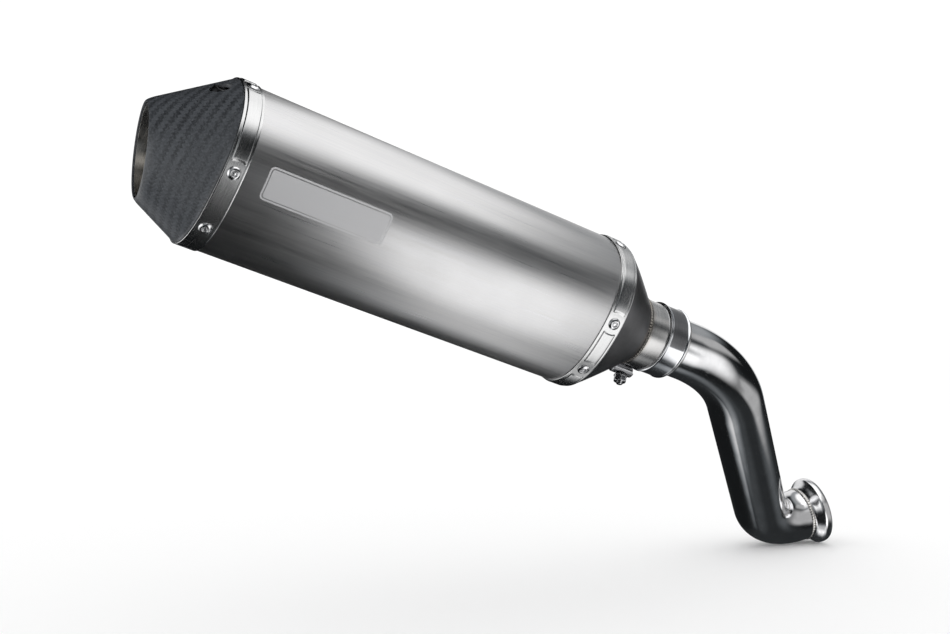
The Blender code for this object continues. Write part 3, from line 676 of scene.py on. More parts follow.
def oval_normal(angle):
    y, z = oval_point(angle, 0.0)
    across = (y - OVAL_Y) / OVAL_HALF_WIDTH
    upright = (z - OVAL_Z) / OVAL_HALF_HEIGHT
    slope_y = abs(across) ** (OVAL_POWER - 1) / OVAL_HALF_WIDTH
    slope_z = abs(upright) ** (OVAL_POWER - 1) / OVAL_HALF_HEIGHT
    return Vector((0.0, slope_y if across > 0 else -slope_y,
                   slope_z if upright > 0 else -slope_z)).normalized()


def smooth(value, low, high):
    t = min(1.0, max(0.0, (value - low) / (high - low)))
    return t * t * (3 - 2 * t)


# ---- sleeve and straps

def build_sleeve():
    outline = rounded([
        (SLEEVE_START, 0.0, 0.0003), (SLEEVE_END, 0.0, 0.0003), (SLEEVE_END, SLEEVE_WALL, 0.0),
        (SLEEVE_START, SLEEVE_WALL, 0.0)
    ])
    rings = [oval(inset, x, 240) for x, inset in outline]
    piece("sleeve_skin", loft(rings), "silencer", "titanium", "titanium_sleeve")


BAND_STEPS = 720
BEAD_CLEARANCE = 0.0088            # from a rivet's centre to the end of the bead
BEAD_SLOPE = 0.0009                # width over which the bead rises
BAND_LIP = 0.0003                  # rounding of the strap's edges
BAND_RIDGE = 0.00003               # faint ridge along the strap's inlet side
PLAIN_ARC = (radians(74.0), radians(286.0))   # where the outlet strap has no bead


def bead_level(u, angle, plain):
    """Bead height from 0 to 1 at an offset across the strap and an angle."""
    if plain and plain[0] < angle < plain[1]:
        return 0.0
    here = oval_point(angle, 0.0)
    nearest = min(hypot(here[0] - y, here[1] - z, u)
                  for y, z in (oval_point(rivet, 0.0) for rivet in RIVET_ANGLES + [2 * pi]))
    return (smooth(BEAD_HALF_WIDTH + BEAD_SLOPE - abs(u), 0.0, BEAD_SLOPE)
            * smooth(nearest, BEAD_CLEARANCE, BEAD_CLEARANCE + BEAD_SLOPE))


def build_band(name, node, middle, plain):
    """A strap with rounded lips and a raised bead that stops round each rivet."""
    half = BAND_WIDTH / 2
    across = [-half, -half + 0.00005, -half + 0.00015, -half + 0.0004, -half + 0.0011,
              -half + 0.0017]
    inner_edge = [-0.0056, -0.00535, -0.0051, -0.0049, -0.0047, -0.0045, -0.0030, 0.0]
    offsets = across + inner_edge + [-u for u in reversed(inner_edge[:-1])]
    offsets += [-u for u in reversed(across)]
    rings = [oval(-GAP * 0.2, middle - half, BAND_STEPS)]
    for u in offsets:
        edge = half - abs(u)
        lip = BAND_WALL * (1 - (1 - min(1.0, edge / BAND_LIP)) ** 2) ** 0.5
        ridge = BAND_RIDGE * smooth(0.0020 - edge, 0.0, 0.0008) * (u > 0.0)
        rise = GAP + 0.25 * BAND_WALL + 0.75 * lip + ridge
        rings.append(section([oval_point(a, -rise - BEAD_HEIGHT * bead_level(u, a, plain))
                              for a in turns(BAND_STEPS)], middle + u))
    rings.append(oval(-GAP * 0.2, middle + half, BAND_STEPS))
    piece(name, loft(rings), "silencer", "band", node, 40.0)


def build_rivets(prefix, middle):
    """Blind rivets: a domed flange, a dished centre and the broken stem in it."""
    outline = rounded([
        (-0.0035, 0.0, 0.0), (-0.0035, 0.0024, 0.0), (0.0, 0.0024, 0.0), (0.0, 0.0047, 0.0001),
        (0.00045, 0.0047, 0.0003), (0.0013, 0.0036, 0.0016), (0.0016, 0.0026, 0.0006),
        (0.0014, 0.0021, 0.0003), (0.0004, 0.0019, 0.0002), (0.0004, 0.0014, 0.0002),
        (0.0012, 0.0013, 0.0003), (0.0013, 0.0, 0.0)
    ])
    for number, angle in enumerate(RIVET_ANGLES, start=1):
        y, z = oval_point(angle, 0.0)
        normal = oval_normal(angle)
        seat = Vector((middle, y, z)) + normal * (GAP + BAND_WALL + 0.00004)
        turn = normal.to_track_quat("Z", "X").to_matrix().to_4x4()
        spin = Matrix.Rotation(random.uniform(0, 2 * pi), 4, "Z")
        place = MUFFLER @ Matrix.Translation(seat) @ turn @ spin
        piece(f"{prefix}_rivet_head_{number}", loft(about_z(outline, 40), closed=False),
              "silencer", "rivet", f"{prefix}_rivet_{number}", place=place)


def skirt(edge, side, wall, shoulder, inner_step):
    """The part of the cap or cone inside the sleeve: its outer rings, up to a rounded
    shoulder at the strap's edge, and its two inner rings."""
    outer = SLEEVE_WALL + GAP
    end = edge - side * SKIRT_LENGTH
    rings = [oval(outer, end), oval(outer, edge), oval(0.0001, edge)]
    rings += [oval(inset, edge + side * step)
              for inset, step in zip((0.0, 0.0001, 0.0006), shoulder)]
    return rings, [oval(outer + wall, edge + side * inner_step), oval(outer + wall, end)]


# ---- outlet end

def rim_x(z):
    return RIM_X - (z - RIM_Z) * tan(RIM_SLANT)


def rim_ring(radius, depth):
    points = circle(radius, RING_STEPS, OVAL_Y, RIM_Z)
    return [Vector((rim_x(z) + depth, y, z)) for y, z in points]


def between(base, rim, share):
    return [low.lerp(high, share) for low, high in zip(base, rim)]


def shrunk(ring, inset):
    """A ring drawn in towards its middle by a distance."""
    middle = sum(ring, Vector()) / len(ring)
    return [point + (middle - point).normalized() * inset for point in ring]


CAP_ROUND_START = 0.88             # share of the slope where the rim starts to roll over
CAP_ROUND_DROP = 0.0013


def build_cap():
    edge = OUTLET_BAND_X - BAND_WIDTH / 2 - GAP * 0.3
    rings, inside = skirt(edge, -1, SKIRT_WALL, (0.0002, 0.0005, 0.0010), 0.0004)
    outer_base = rings[-1]
    outer_rim = rim_ring(RIM_RADIUS, 0.0)
    inner_rim = rim_ring(RIM_RADIUS - CAP_WALL, 0.0012)
    shares = [0.03, 0.1, 0.25, 0.4, 0.55, 0.7, 0.8, CAP_ROUND_START]
    rings += [between(outer_base, outer_rim, s) for s in shares]
    for step in range(1, 9):
        turn = radians(85.0) * step / 8
        share = CAP_ROUND_START + (1 - CAP_ROUND_START) * sin(turn)
        rings.append(shrunk(between(outer_base, outer_rim, share),
                            CAP_ROUND_DROP * (1 - cos(turn))))
    rings += [rim_ring(RIM_RADIUS - CAP_WALL + 0.0002, 0.0),
              rim_ring(RIM_RADIUS - CAP_WALL, 0.0003), inner_rim]
    rings += [between(inside[0], inner_rim, s) for s in (0.75, 0.5, 0.25)]
    cap = piece("cap_shell", loft(rings + inside), "silencer", "carbon",
                "carbon_outlet_cap")
    pierce(cap, SCREW, [(up(0.035), up(0.080), SCREW_HOLE_RADIUS, 48)])
    cap.data.materials.append(LOOKS["carbon_edge"])
    back = MUFFLER.inverted()
    for face in cap.data.polygons:
        centre = back @ face.center
        inward = hypot(centre.y - OVAL_Y, centre.z - RIM_Z) < RIM_RADIUS - 0.0014
        near_rim = centre.x < rim_x(centre.z) + 0.0015
        from_screw = hypot(centre.x - SCREW_X, centre.y - OVAL_Y)
        upright = abs((back.to_3x3() @ face.normal).z) < 0.2
        wall = abs(from_screw - SCREW_HOLE_RADIUS) < 0.0002 and upright
        if (inward and near_rim) or (wall and centre.z > 0.02):
            face.material_index = 1


def build_outlet_tube():
    start = PLATE_X - PLATE_WALL / 2 - GAP
    outer, inner = (section(circle(radius, RING_STEPS, OVAL_Y, RIM_Z), start)
                    for radius in (OUTLET_TUBE_RADIUS, OUTLET_BORE))
    lip = ((0.0, 0.0019), (0.0001, 0.0016), (0.0004, 0.0015))
    rings = [outer] + [rim_ring(OUTLET_TUBE_RADIUS - inset, depth) for inset, depth in lip]
    rings += [rim_ring(OUTLET_BORE + inset, depth) for inset, depth in reversed(lip)] + [inner]
    tube = piece("outlet_pipe", loft(rings), "silencer", "tube", "outlet_tube")
    pierce(tube, SCREW, [(Vector(), up(0.030), SCREW_RADIUS + GAP, 32)])


def build_baffle():
    outer = OUTLET_BORE - GAP
    inner = outer - BAFFLE_WALL
    hole = BAFFLE_TUBE_RADIUS + GAP * 0.2
    back = BAFFLE_START + BAFFLE_DEPTH
    dish = lathe([
        (back, outer, 0.0004), (BAFFLE_START, outer, 0.0032), (BAFFLE_START, hole, 0.0003),
        (BAFFLE_START + BAFFLE_WALL, hole, 0.0), (BAFFLE_START + BAFFLE_WALL, inner, 0.0022),
        (back, inner, 0.0004)
    ], 128, 6)
    piece("baffle_dish", dish, "baffle", "baffle", "baffle_cup")
    start = BAFFLE_START - 0.0010
    bore = BAFFLE_TUBE_RADIUS - BAFFLE_WALL
    pipe = lathe([
        (BAFFLE_TUBE_END, BAFFLE_TUBE_RADIUS, 0.0), (start, BAFFLE_TUBE_RADIUS, 0.0005),
        (start, bore, 0.0005), (BAFFLE_TUBE_END, bore, 0.0)
    ], 96)
    tube = piece("baffle_pipe", pipe, "baffle", "baffle", "baffle_tube")
    first = Vector((BAFFLE_START + 0.036, 0.0, 0.0))
    last = Vector((BAFFLE_TUBE_END - 0.012, 0.0, 0.0))
    pins = []
    for row in range(4):
        middle = first + (last - first) * row / 3
        for i in range(5):
            angle = 2 * pi * (i + 0.5 * (row % 2)) / 5
            spoke = Vector((0.0, -sin(angle), cos(angle)))
            pins.append((middle + spoke * (BAFFLE_TUBE_RADIUS - 0.004),
                         middle + spoke * (BAFFLE_TUBE_RADIUS + 0.002), 0.0030, 20))
    pierce(tube, BAFFLE, pins)
    nose = BAFFLE_TUBE_END + GAP * 0.3
    tip = nose + BAFFLE_NOSE_LENGTH
    cone = lathe([
        (tip, BAFFLE_NOSE_RADIUS, 0.0003), (nose + 0.003, BAFFLE_TUBE_RADIUS, 0.003),
        (nose, BAFFLE_TUBE_RADIUS, 0.0), (nose, bore, 0.0), (nose + 0.003, bore, 0.002),
        (tip, BAFFLE_NOSE_RADIUS - BAFFLE_WALL, 0.0003)
    ], 96, 5)
    piece("baffle_cone", cone, "baffle", "baffle", "baffle_nose")


THREAD_PITCH = 0.0010
SCREW_STEPS = 96
KNURL_DEPTH = 0.00014


def hexagon(z, flats, steps, limit=1.0):
    """A hexagon with that distance to its flats, its corners cut off at a limit."""
    return polar(z, [min(flats / cos((a % (pi / 3)) - pi / 6), limit) for a in turns(steps)])


def threaded(start, end, radius, steps, depth):
    """Rings of a screw thread between two heights along z."""
    count = max(2, int(abs(end - start) / (THREAD_PITCH / 6)))
    rings = []
    for i in range(count + 1):
        z = start + (end - start) * i / count
        fade = min(1.0, i / 5, (count - i) / 5)
        phases = [(z / THREAD_PITCH + angle / (2 * pi)) % 1.0 for angle in turns(steps)]
        rings.append(polar(z, [radius - depth * (1 - abs(2 * phase - 1)) * fade
                               for phase in phases]))
    return rings


def build_screw():
    """Black socket-head cap screw with a knurled head."""
    tip = OUTLET_BORE - RIM_DROP
    seat = BOSS_TOP + 0.00005
    top = seat + SCREW_HEAD_HEIGHT
    head = SCREW_HEAD_RADIUS
    knurled = [head - KNURL_DEPTH * (i % 3 == 0) for i in range(SCREW_STEPS)]
    rings = [[up(top - 0.0034)]]
    rings += [hexagon(top - depth, flats, SCREW_STEPS) for depth, flats in
              ((0.0030, 0.0018), (0.0030, 0.0020), (0.0003, 0.0020), (0.0, 0.00225))]
    rings += about_z([(top, 0.0034), (top, head - 0.0007), (top - 0.0002, head - 0.0003)],
                     SCREW_STEPS)
    rings += [polar(top - 0.0007, knurled), polar(seat + 0.0006, knurled)]
    rings += about_z([(seat + 0.0001, head - 0.0002), (seat, head - 0.0004),
                      (seat, SCREW_RADIUS)], SCREW_STEPS)
    rings += threaded(seat - 0.002, tip + 0.0008, SCREW_RADIUS, SCREW_STEPS, 0.00028)
    rings += about_z([(tip, SCREW_RADIUS - 0.0007), (tip, 0.0)], SCREW_STEPS)
    piece("screw_black", loft(rings, closed=False), "baffle_screw", "screw",
          "baffle_screw", 40.0)


# ---- inlet end

def cone_ring(base, tip, share):
    turn_in = share ** CONE_CURVE
    ring = []
    for low, high in zip(base, tip):
        point = low.lerp(high, turn_in)
        point.x = low.x + (high.x - low.x) * share
        ring.append(point)
    return ring


def build_cone():
    edge = INLET_BAND_X + BAND_WIDTH / 2 + GAP * 0.3
    rings, inside = skirt(edge, 1, CONE_WALL, (0.0004, 0.0009, 0.0016), 0.0002)
    outer_base = rings[-1]
    tip_outer = section(circle(NECK_RADIUS + GAP + 0.0012, RING_STEPS), CONE_END)
    tip_inner = section(circle(NECK_RADIUS + GAP, RING_STEPS), CONE_END)
    shares = [0.02, 0.06, 0.12] + [i / 14 for i in range(3, 14)]
    rings += [cone_ring(outer_base, tip_outer, s) for s in shares]
    rings += [tip_outer, tip_inner]
    rings += [cone_ring(inside[0], tip_inner, s) for s in reversed(shares)]
    piece("cone_shell", loft(rings + inside), "silencer", "cone", "inlet_cone")


def weld_bead(start, foot, width, height, ripples, wobble):
    """A rippled weld bead round the x axis: overlapping puddles on a ring."""
    around = ripples * 10
    across = 12
    rings = []
    for k in range(across + 1):
        t = k / across
        ring = []
        for angle in turns(around):
            puddle = (angle * ripples / (2 * pi) + 0.35 * (2 * t - 1) ** 2) % 1.0
            ripple = 0.72 + 0.28 * sin(pi * puddle)
            edge = 0.0002 * wobble * sin(angle * 7 + 1.3) * (1 - 4 * (t - 0.5) ** 2)
            x = start + width * t + edge + 0.00012 * sin(angle * ripples) * (2 * t - 1)
            r = foot + height * sin(pi * t) ** 0.8 * ripple
            ring.append(Vector((x, -r * sin(angle), r * cos(angle))))
        rings.append(ring)
    under = circle(foot - 0.0002, around)
    return loft(rings + [section(under, start + width), section(under, start)])


def build_neck():
    tube = lathe([
        (NECK_END, NECK_RADIUS, 0.0006), (NECK_START, NECK_RADIUS, 0.0003),
        (NECK_START, NECK_BORE, 0.0003), (NECK_END, NECK_BORE, 0.0005)
    ], 160)
    piece("neck_tube", tube, "silencer", "neck", "inlet_neck")
    bead = weld_bead(CONE_END + 0.0001, NECK_RADIUS + 0.00005, 0.0037, 0.0014, 72, 1.0)
    piece("neck_weld_bead", bead, "silencer", "weld", "neck_weld", 50.0)


# ---- clamp

LOOP_STEPS = 36
ROUND_STEPS = 150

# the strip's outer side from its edge to its middle: place across, height over the inner
# side, and the extra height of its rolled edge where it lies on the round
STRIP_PROFILE = [(0.0, 0.00045, 0.0002), (0.00012, 0.0008, 0.0004), (0.0004, 0.0010, 0.0006),
                 (0.0008, 0.0010, 0.00065), (0.0012, 0.0010, 0.0005),
                 (0.0016, 0.0010, 0.00015), (0.0019, 0.0010, 0.00002), (0.0024, 0.0010, 0.0),
                 (CLAMP_WIDTH / 2, 0.0010, 0.0)]


def strip_path():
    """Middle line of the clamp's strip, and how far each point is on the round."""
    loop = TRUNNION_RADIUS + GAP * 0.4 + CLAMP_WALL / 2
    radius = NECK_RADIUS + GAP * 0.4 + CLAMP_WALL / 2
    foot = asin((CLAMP_LUG_SPREAD - loop) / radius)
    first = []
    for i in range(LOOP_STEPS, -1, -1):
        angle = pi - radians(240) * i / LOOP_STEPS
        first.append((CLAMP_BOLT_RADIUS + loop * sin(angle),
                      -CLAMP_LUG_SPREAD - loop * cos(angle)))
    top = first[-1]
    base = (radius * cos(foot), -radius * sin(foot))
    first += [(top[0] + (base[0] - top[0]) * s, top[1] + (base[1] - top[1]) * s)
              for s in (0.15, 0.35, 0.55, 0.75, 0.9)]
    middle = []
    for i in range(ROUND_STEPS + 1):
        angle = foot + (2 * pi - 2 * foot) * i / ROUND_STEPS
        middle.append((radius * cos(angle), -radius * sin(angle)))
    last = [(y, -z) for y, z in reversed(first)]
    marks = [0.0] * len(first) + [1.0] * len(middle) + [0.0] * len(last)
    return first + middle + last, marks


def build_clamp_band():
    path, marks = strip_path()
    count = len(path)
    low = -CLAMP_WALL / 2
    inner = [(CLAMP_WIDTH - 0.0004, low), (0.0004, low)]
    outer = STRIP_PROFILE + [(CLAMP_WIDTH - u, height, lip)
                             for u, height, lip in reversed(STRIP_PROFILE[:-1])]
    rings = []
    for i, (y, z) in enumerate(path):
        before = path[max(i - 1, 0)]
        after = path[min(i + 1, count - 1)]
        along = Vector((after[0] - before[0], after[1] - before[1])).normalized()
        side = Vector((along.y, -along.x))
        if marks[i] and side.dot(Vector((y, z))) < 0:
            side = -side
        window = marks[max(0, i - 5):i + 6]
        soft = sum(window) / len(window)
        levels = [(u, height - CLAMP_WALL / 2 + lip * soft) for u, height, lip in outer]
        rings.append([Vector((u, y + side.x * rise, z + side.y * rise))
                      for u, rise in levels + inner])
    bm = loft(rings, closed=False)
    ends = [e for e in bm.edges if e.is_boundary]
    bmesh.ops.holes_fill(bm, edges=ends, sides=0)
    band = piece("clamp_strap", bm, "clamp", "clamp", "clamp_band", 38.0)
    bolt = Vector((CLAMP_WIDTH / 2, CLAMP_BOLT_RADIUS, 0.0))
    start = up(0.004)
    end = start + up(CLAMP_LUG_SPREAD + TRUNNION_RADIUS)
    pierce(band, CLAMP, [(bolt + start * side, bolt + end * side, BOLT_RADIUS + 2 * GAP, 32)
                         for side in (-1, 1)], 38.0)


BOLT_STEPS = 48


def barrel():
    """The clamp's cross bar, along x, with rounded ends."""
    end = TRUNNION_LENGTH / 2
    outline = rounded([
        (-end, 0.0, 0.0), (-end, TRUNNION_RADIUS, 0.0007), (end, TRUNNION_RADIUS, 0.0007),
        (end, 0.0, 0.0)
    ])
    return loft([[Vector((point.z, point.x, point.y)) for point in ring]
                 for ring in about_z(outline, BOLT_STEPS)], closed=False)


def build_clamp_hardware():
    middle = CLAMP_WIDTH / 2
    place = CLAMP @ Matrix.Translation((middle, CLAMP_BOLT_RADIUS, -CLAMP_LUG_SPREAD))
    trunnion = piece("trunnion_bar", barrel(), "clamp", "hardware",
                     "clamp_trunnion", place=place)
    reach = up(TRUNNION_RADIUS * 1.5)
    pierce(trunnion, place, [(-reach, reach, BOLT_RADIUS + GAP, 32)])
    place = CLAMP @ Matrix.Translation((middle, CLAMP_BOLT_RADIUS, CLAMP_LUG_SPREAD))
    bolt = barrel()
    low = -CLAMP_LUG_SPREAD - BOLT_END
    top = -TRUNNION_RADIUS * 0.7
    rings = about_z([(top, 0.0), (top, BOLT_RADIUS), (-0.014, BOLT_RADIUS)], BOLT_STEPS)
    rings += threaded(-0.015, low + 0.0009, BOLT_RADIUS, BOLT_STEPS, 0.0004)
    rings += about_z([(low + 0.0002, BOLT_RADIUS - 0.0006), (low, BOLT_RADIUS - 0.0009),
                      (low, 0.0)], BOLT_STEPS)
    bolt.from_mesh(new_mesh("shank", loft(rings, closed=False)))
    piece("t_bolt", bolt, "clamp", "hardware", "clamp_t_bolt", 40.0,
          place=place)


NUT_STEPS = 72


def build_nut():
    """Hexagon nut with a flange on the seat side and chamfered corners."""
    flats = NUT_RADIUS * cos(pi / 6)
    crown = NUT_RADIUS * 0.995
    bore = BOLT_RADIUS + 0.00012
    end = -NUT_HEIGHT
    rings = about_z([(0.0, bore), (0.0, crown - 0.0001), (-0.0004, crown), (-0.0010, crown)],
                    NUT_STEPS)
    rings += [hexagon(z, flats, NUT_STEPS, limit) for z, limit in
              ((-0.0012, crown), (end + 0.0011, crown), (end + 0.0006, flats * 1.06),
               (end + 0.0002, flats * 0.99))]
    rings += about_z([(end, flats * 0.94), (end, bore + 0.0004), (end + 0.0004, bore)],
                     NUT_STEPS)
    piece("hex_nut", loft(rings), "clamp_nut", "hardware", "clamp_nut")


# ---- link pipe

def heading(turn, climb):
    turn = radians(turn)
    climb = radians(climb)
    return Vector((cos(climb) * cos(turn), cos(climb) * sin(turn), sin(climb)))


BEND_STEP = radians(1.8)


def pipe_route():
    """Points along the pipe's middle line, each with the pipe's direction there."""
    ways = [heading(*pair) for pair in PIPE_HEADINGS]
    point = Vector()
    route = [(point - ways[0] * PIPE_INSERTION, ways[0])]
    for i, way in enumerate(ways):
        start = route[-1][0]
        point = point + way * PIPE_STRAIGHTS[i]
        for share in (0.02, 0.25, 0.5, 0.75, 0.98, 1.0):
            route.append((start.lerp(point, share), way))
        if i == len(PIPE_BENDS):
            break
        axis = way.cross(ways[i + 1]).normalized()
        total = way.angle(ways[i + 1])
        inward = axis.cross(way)
        steps = round(total / BEND_STEP)
        start = point.copy()
        for k in range(1, steps + 1):
            angle = total * k / steps
            point = (start + way * PIPE_BENDS[i] * sin(angle)
                     + inward * PIPE_BENDS[i] * (1 - cos(angle)))
            route.append((point.copy(), Matrix.Rotation(angle, 3, axis) @ way))
    return route


def build_pipe():
    """The bent tube; gives back its direction at the flare."""
    outer = []
    inner = []
    route = pipe_route()
    side = route[0][1].orthogonal().normalized()
    for point, way in route:
        side = (side - way * side.dot(way)).normalized()
        lift = side.cross(way)
        spokes = [side * cos(angle) + lift * sin(angle) for angle in turns(96)]
        outer.append([point + spoke * PIPE_RADIUS for spoke in spokes])
        inner.append([point + spoke * (PIPE_RADIUS - PIPE_WALL) for spoke in spokes])
    piece("pipe_bent", loft(outer + inner[::-1]), "link_pipe", "pipe",
          "link_pipe")
    return route[-1][1]


BELL_STEPS = 28
BELL_BORE_RISE = 0.0037            # widening of the bell's inner side


def build_flare(way):
    """An S-shaped bell with a rolled rim, welded to the end of the pipe."""
    place = way.to_track_quat("X", "Z").to_matrix().to_4x4()
    start = -FLARE_LENGTH - GAP * 0.8
    wall = PIPE_WALL - 0.0001
    outer = []
    inner = []
    for i in range(BELL_STEPS + 1):
        share = i / BELL_STEPS
        rise = BELL_RISE * smooth(share, 0.06, 0.86)
        bore_rise = BELL_BORE_RISE * smooth(share, 0.2, 1.0)
        outer.append((start + (FLARE_LENGTH - LIP_ROUND) * share, PIPE_RADIUS + rise))
        inner.append((start + (FLARE_LENGTH - 0.0012) * share, PIPE_RADIUS - wall + bore_rise))
    lip = []
    for i in range(1, 9):
        turn = radians(90.0) * i / 8
        lip.append((-LIP_ROUND * (1 - sin(turn)), FLARE_RADIUS - LIP_DROP * (1 - cos(turn))))
    lip += [(0.0, FLARE_MOUTH + 0.0008), (-0.0002, FLARE_MOUTH + 0.0003)]
    outline = outer + lip + inner[::-1]
    piece("flare_bell", loft(about_x(outline, 144)), "link_pipe", "flare",
          "flare_collar", 45.0, place=place)
    bead = weld_bead(-FLARE_LENGTH - 0.0021, PIPE_RADIUS + 0.00005, 0.0040, 0.0011, 58, 2.0)
    piece("flare_weld_bead", bead, "link_pipe", "flare_weld", "flare_weld", 50.0,
          place=place)


# ---- CAD nodes kept

def dress(node, look):
    """Give a CAD node that stays in the scene its look."""
    materials = frame["nodes"][node].data.materials
    materials.clear()
    materials.append(LOOKS[look])


# ---- studio

# A soft-edged light in the studio dome: its middle's azimuth and elevation, half its width
# and height and the reach of its soft edge, all in degrees, and its strength.
Card = namedtuple("Card", "azimuth elevation half_width half_height soft level")

CARDS = [
    Card(-170.0, 68.0, 40.0, 38.0, 12.0, 1.75),
    Card(-78.0, 70.0, 52.0, 23.0, 9.0, 1.55),
    Card(-90.0, 38.0, 60.0, 12.0, 8.0, 0.40),
    Card(-166.0, -43.0, 23.0, 25.0, 9.0, 1.9),
    Card(-160.0, -80.0, 30.0, 14.0, 8.0, 0.45),
    Card(0.0, -90.0, 200.0, 13.0, 5.0, 0.60),
    Card(-15.0, -76.0, 34.0, 11.0, 6.0, 0.55),
    Card(-70.0, -77.0, 45.0, 7.0, 6.0, 0.55),
    Card(-75.0, -45.0, 40.0, 35.0, 10.0, 0.02),
    Card(-91.0, -22.0, 9.0, 12.0, 7.0, 0.09),
    Card(-80.0, -64.0, 22.0, 8.0, 6.0, 0.035),
    Card(-140.0, 5.0, 24.0, 30.0, 12.0, 0.05),
    Card(-25.0, 12.0, 38.0, 14.0, 5.0, 0.95),
    Card(80.0, -2.0, 40.0, 20.0, 12.0, 1.7),
    Card(145.0, 10.0, 13.0, 24.0, 10.0, 0.3),
]
AMBIENT = 0.012
DOME_RADIUS = 1.0
DOME_MIDDLE = (-0.34, -0.07, 0.16)

# An upright soft light close to the link pipe. It stands on the ground line from left to
# right. heights and reach, in metres up and along it, each say where the light starts, is
# full, starts to fade and ends.
Strip = namedtuple("Strip", "name left right heights reach level")

STRIPS = [
    Strip("strip_light_main", (-0.08, -0.433), (0.25, -0.317), (-0.42, 0.02, 0.12, 0.26),
          (0.0, 0.04, 0.12, 0.33), 1.25),
    Strip("strip_light_tail", (0.18, -0.342), (0.47, -0.24), (-0.17, -0.10, -0.06, 0.0),
          (0.0, 0.06, 0.16, 0.29), 0.6),
    Strip("strip_light_flare", (-0.04, -0.24), (0.20, 0.0), (-0.09, -0.03, 0.05, 0.11),
          (0.0, 0.06, 0.16, 0.30), 0.5),
    Strip("strip_light_high", (0.02, -0.40), (0.42, -0.12), (0.20, 0.30, 0.40, 0.52),
          (0.0, 0.08, 0.30, 0.45), 0.5),
]

FLOOR_RADIUS = 40.0
FLOOR_GAP = 0.0006                 # from the floor to the lowest point of the object
WORLD_LIGHT = 1.07
CAMERA_PLACE = (-0.94349, -1.05343, 0.18506)
CAMERA_TURN = radians(-28.446)
CAMERA_LENS = 54.03
CAMERA_SENSOR = 36.0


def only_reflected(item, look, surface):
    """Finish a light that nothing but reflections can see."""
    look.tree.links.new(surface, look.tree.nodes["Material Output"].inputs["Surface"])
    look.material.cycles.emission_sampling = "NONE"
    item.data.materials.append(look.material)
    for ray in ("camera", "diffuse", "transmission", "shadow"):
        setattr(item, "visible_" + ray, False)


def build_dome():
    """Backdrop that only reflections see: dark, with soft light cards."""
    bm = bmesh.new()
    bmesh.ops.create_uvsphere(bm, u_segments=96, v_segments=48, radius=DOME_RADIUS)
    dome = new_object("studio_dome", new_mesh("studio_dome", bm))
    dome.location = DOME_MIDDLE
    look = Look("studio_dome", (0.0, 0.0, 0.0), 1.0, 0.0)
    direction = look.node("VectorMath", look.raw, operation="NORMALIZE")
    x, y, z = look.split(direction.outputs[0])
    azimuth = look.math("ARCTAN2", x * -1.0, y) * (180 / pi)
    elevation = look.math("ARCSINE", z) * (180 / pi)
    total = AMBIENT
    for card in CARDS:
        offset = abs(look.math("WRAP", azimuth - card.azimuth, 180.0, -180.0))
        across = look.fade(offset, card.half_width - card.soft, card.half_width + card.soft)
        along = look.fade(abs(elevation - card.elevation), card.half_height - card.soft,
                          card.half_height + card.soft)
        total = total + across * along * card.level
    tint = look.mix(look.remap(total, 0.0, 0.7), (0.86, 0.94, 1.0), (1.0, 1.0, 1.0))
    emission = look.node("Emission", tint, total)
    only_reflected(dome, look, emission.outputs[0])


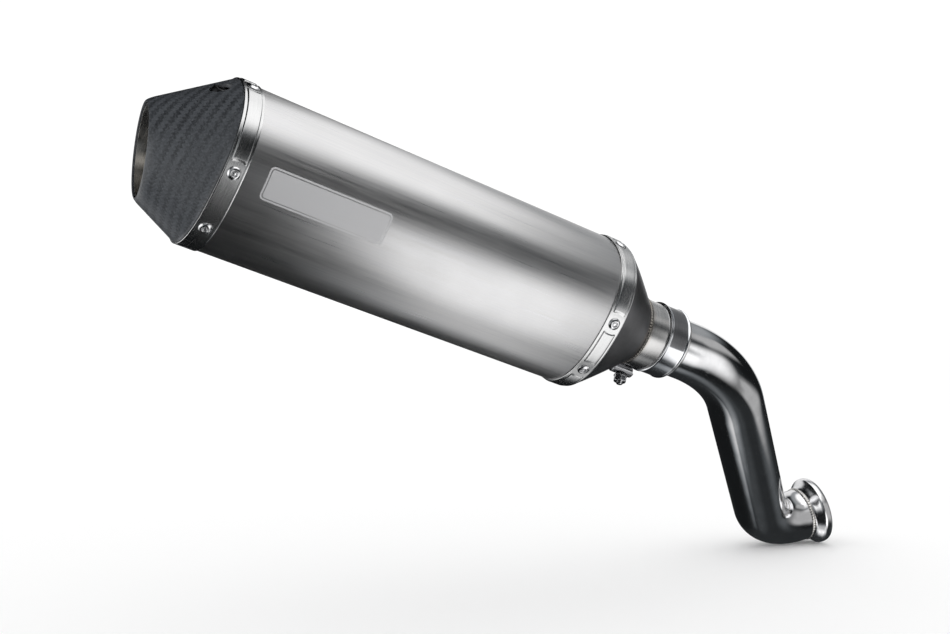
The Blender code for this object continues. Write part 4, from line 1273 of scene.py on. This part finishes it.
def build_strip_light(strip):
    left = Vector((*strip.left, 0.0))
    way = Vector((*strip.right, 0.0)) - left
    across = way.normalized()
    low, high = strip.heights[0], strip.heights[3]
    corners = ((0.0, low), (way.length, low), (way.length, high), (0.0, high))
    bm = bmesh.new()
    bm.faces.new([bm.verts.new((*corner, 0.0)) for corner in corners])
    item = new_object(strip.name, new_mesh(strip.name, bm))
    above = up(1.0)
    turn = Matrix((across, above, across.cross(above))).transposed()
    item.matrix_world = Matrix.Translation(left) @ turn.to_4x4()
    look = Look(strip.name, (0.0, 0.0, 0.0), 1.0, 0.0)
    x, y, _ = look.split(look.raw)
    glow = 1.0
    for value, (start, full, fade, end) in ((x, strip.reach), (y, strip.heights)):
        rise = look.remap(value, start, full, smooth=True)
        glow = rise * look.fade(value, fade, end) * glow
    clear = look.node("BsdfTransparent").outputs[0]
    emission = look.node("Emission", (1.0, 1.0, 1.0, 1.0), strip.level).outputs[0]
    only_reflected(item, look, look.node("MixShader", glow, clear, emission).outputs[0])


def build_floor(level):
    bm = bmesh.new()
    bmesh.ops.create_circle(bm, cap_ends=True, segments=64, radius=FLOOR_RADIUS)
    floor = new_object("floor", new_mesh("floor", bm))
    floor.location = (0.0, 0.0, level)
    look = Look("floor_pale", (0.95, 0.95, 0.95), 0.5, 0.0, Specular_IOR_Level=0.0)
    floor.data.materials.append(look.material)
    floor.visible_glossy = False


def build_world():
    world = bpy.data.worlds.new("studio")
    bpy.context.scene.world = world
    world.use_nodes = True
    background = world.node_tree.nodes["Background"]
    background.inputs["Color"].default_value = (1.0, 1.0, 1.0, 1.0)
    background.inputs["Strength"].default_value = WORLD_LIGHT
    world.cycles_visibility.glossy = False


def build_camera():
    data = bpy.data.cameras.new("camera")
    data.lens = CAMERA_LENS
    data.sensor_width = CAMERA_SENSOR
    data.dof.use_dof = False
    camera = new_object("camera", data)
    camera.location = CAMERA_PLACE
    camera.rotation_euler = (radians(90.0), 0.0, CAMERA_TURN)
    bpy.context.scene.camera = camera


# ---- build

build_sleeve()
build_band("strap_outlet", "outlet_band", OUTLET_BAND_X, PLAIN_ARC)
build_band("strap_inlet", "inlet_band", INLET_BAND_X, None)
build_rivets("outlet", OUTLET_BAND_X)
build_rivets("inlet", INLET_BAND_X)
build_cap()
build_outlet_tube()
build_baffle()
build_screw()
build_cone()
build_neck()
build_clamp_band()
build_clamp_hardware()
build_nut()
build_flare(build_pipe())
for node in ("outlet_inner_plate", "perforated_core_tube", "baffle_screw_boss"):
    dress(node, "inner")
dress("glass_fibre_packing", "fibre")

low, high = cad_box
build_dome()
for strip in STRIPS:
    build_strip_light(strip)
build_floor(low.z - FLOOR_GAP)
build_world()
build_camera()
bpy.context.scene.view_settings.view_transform = "Standard"
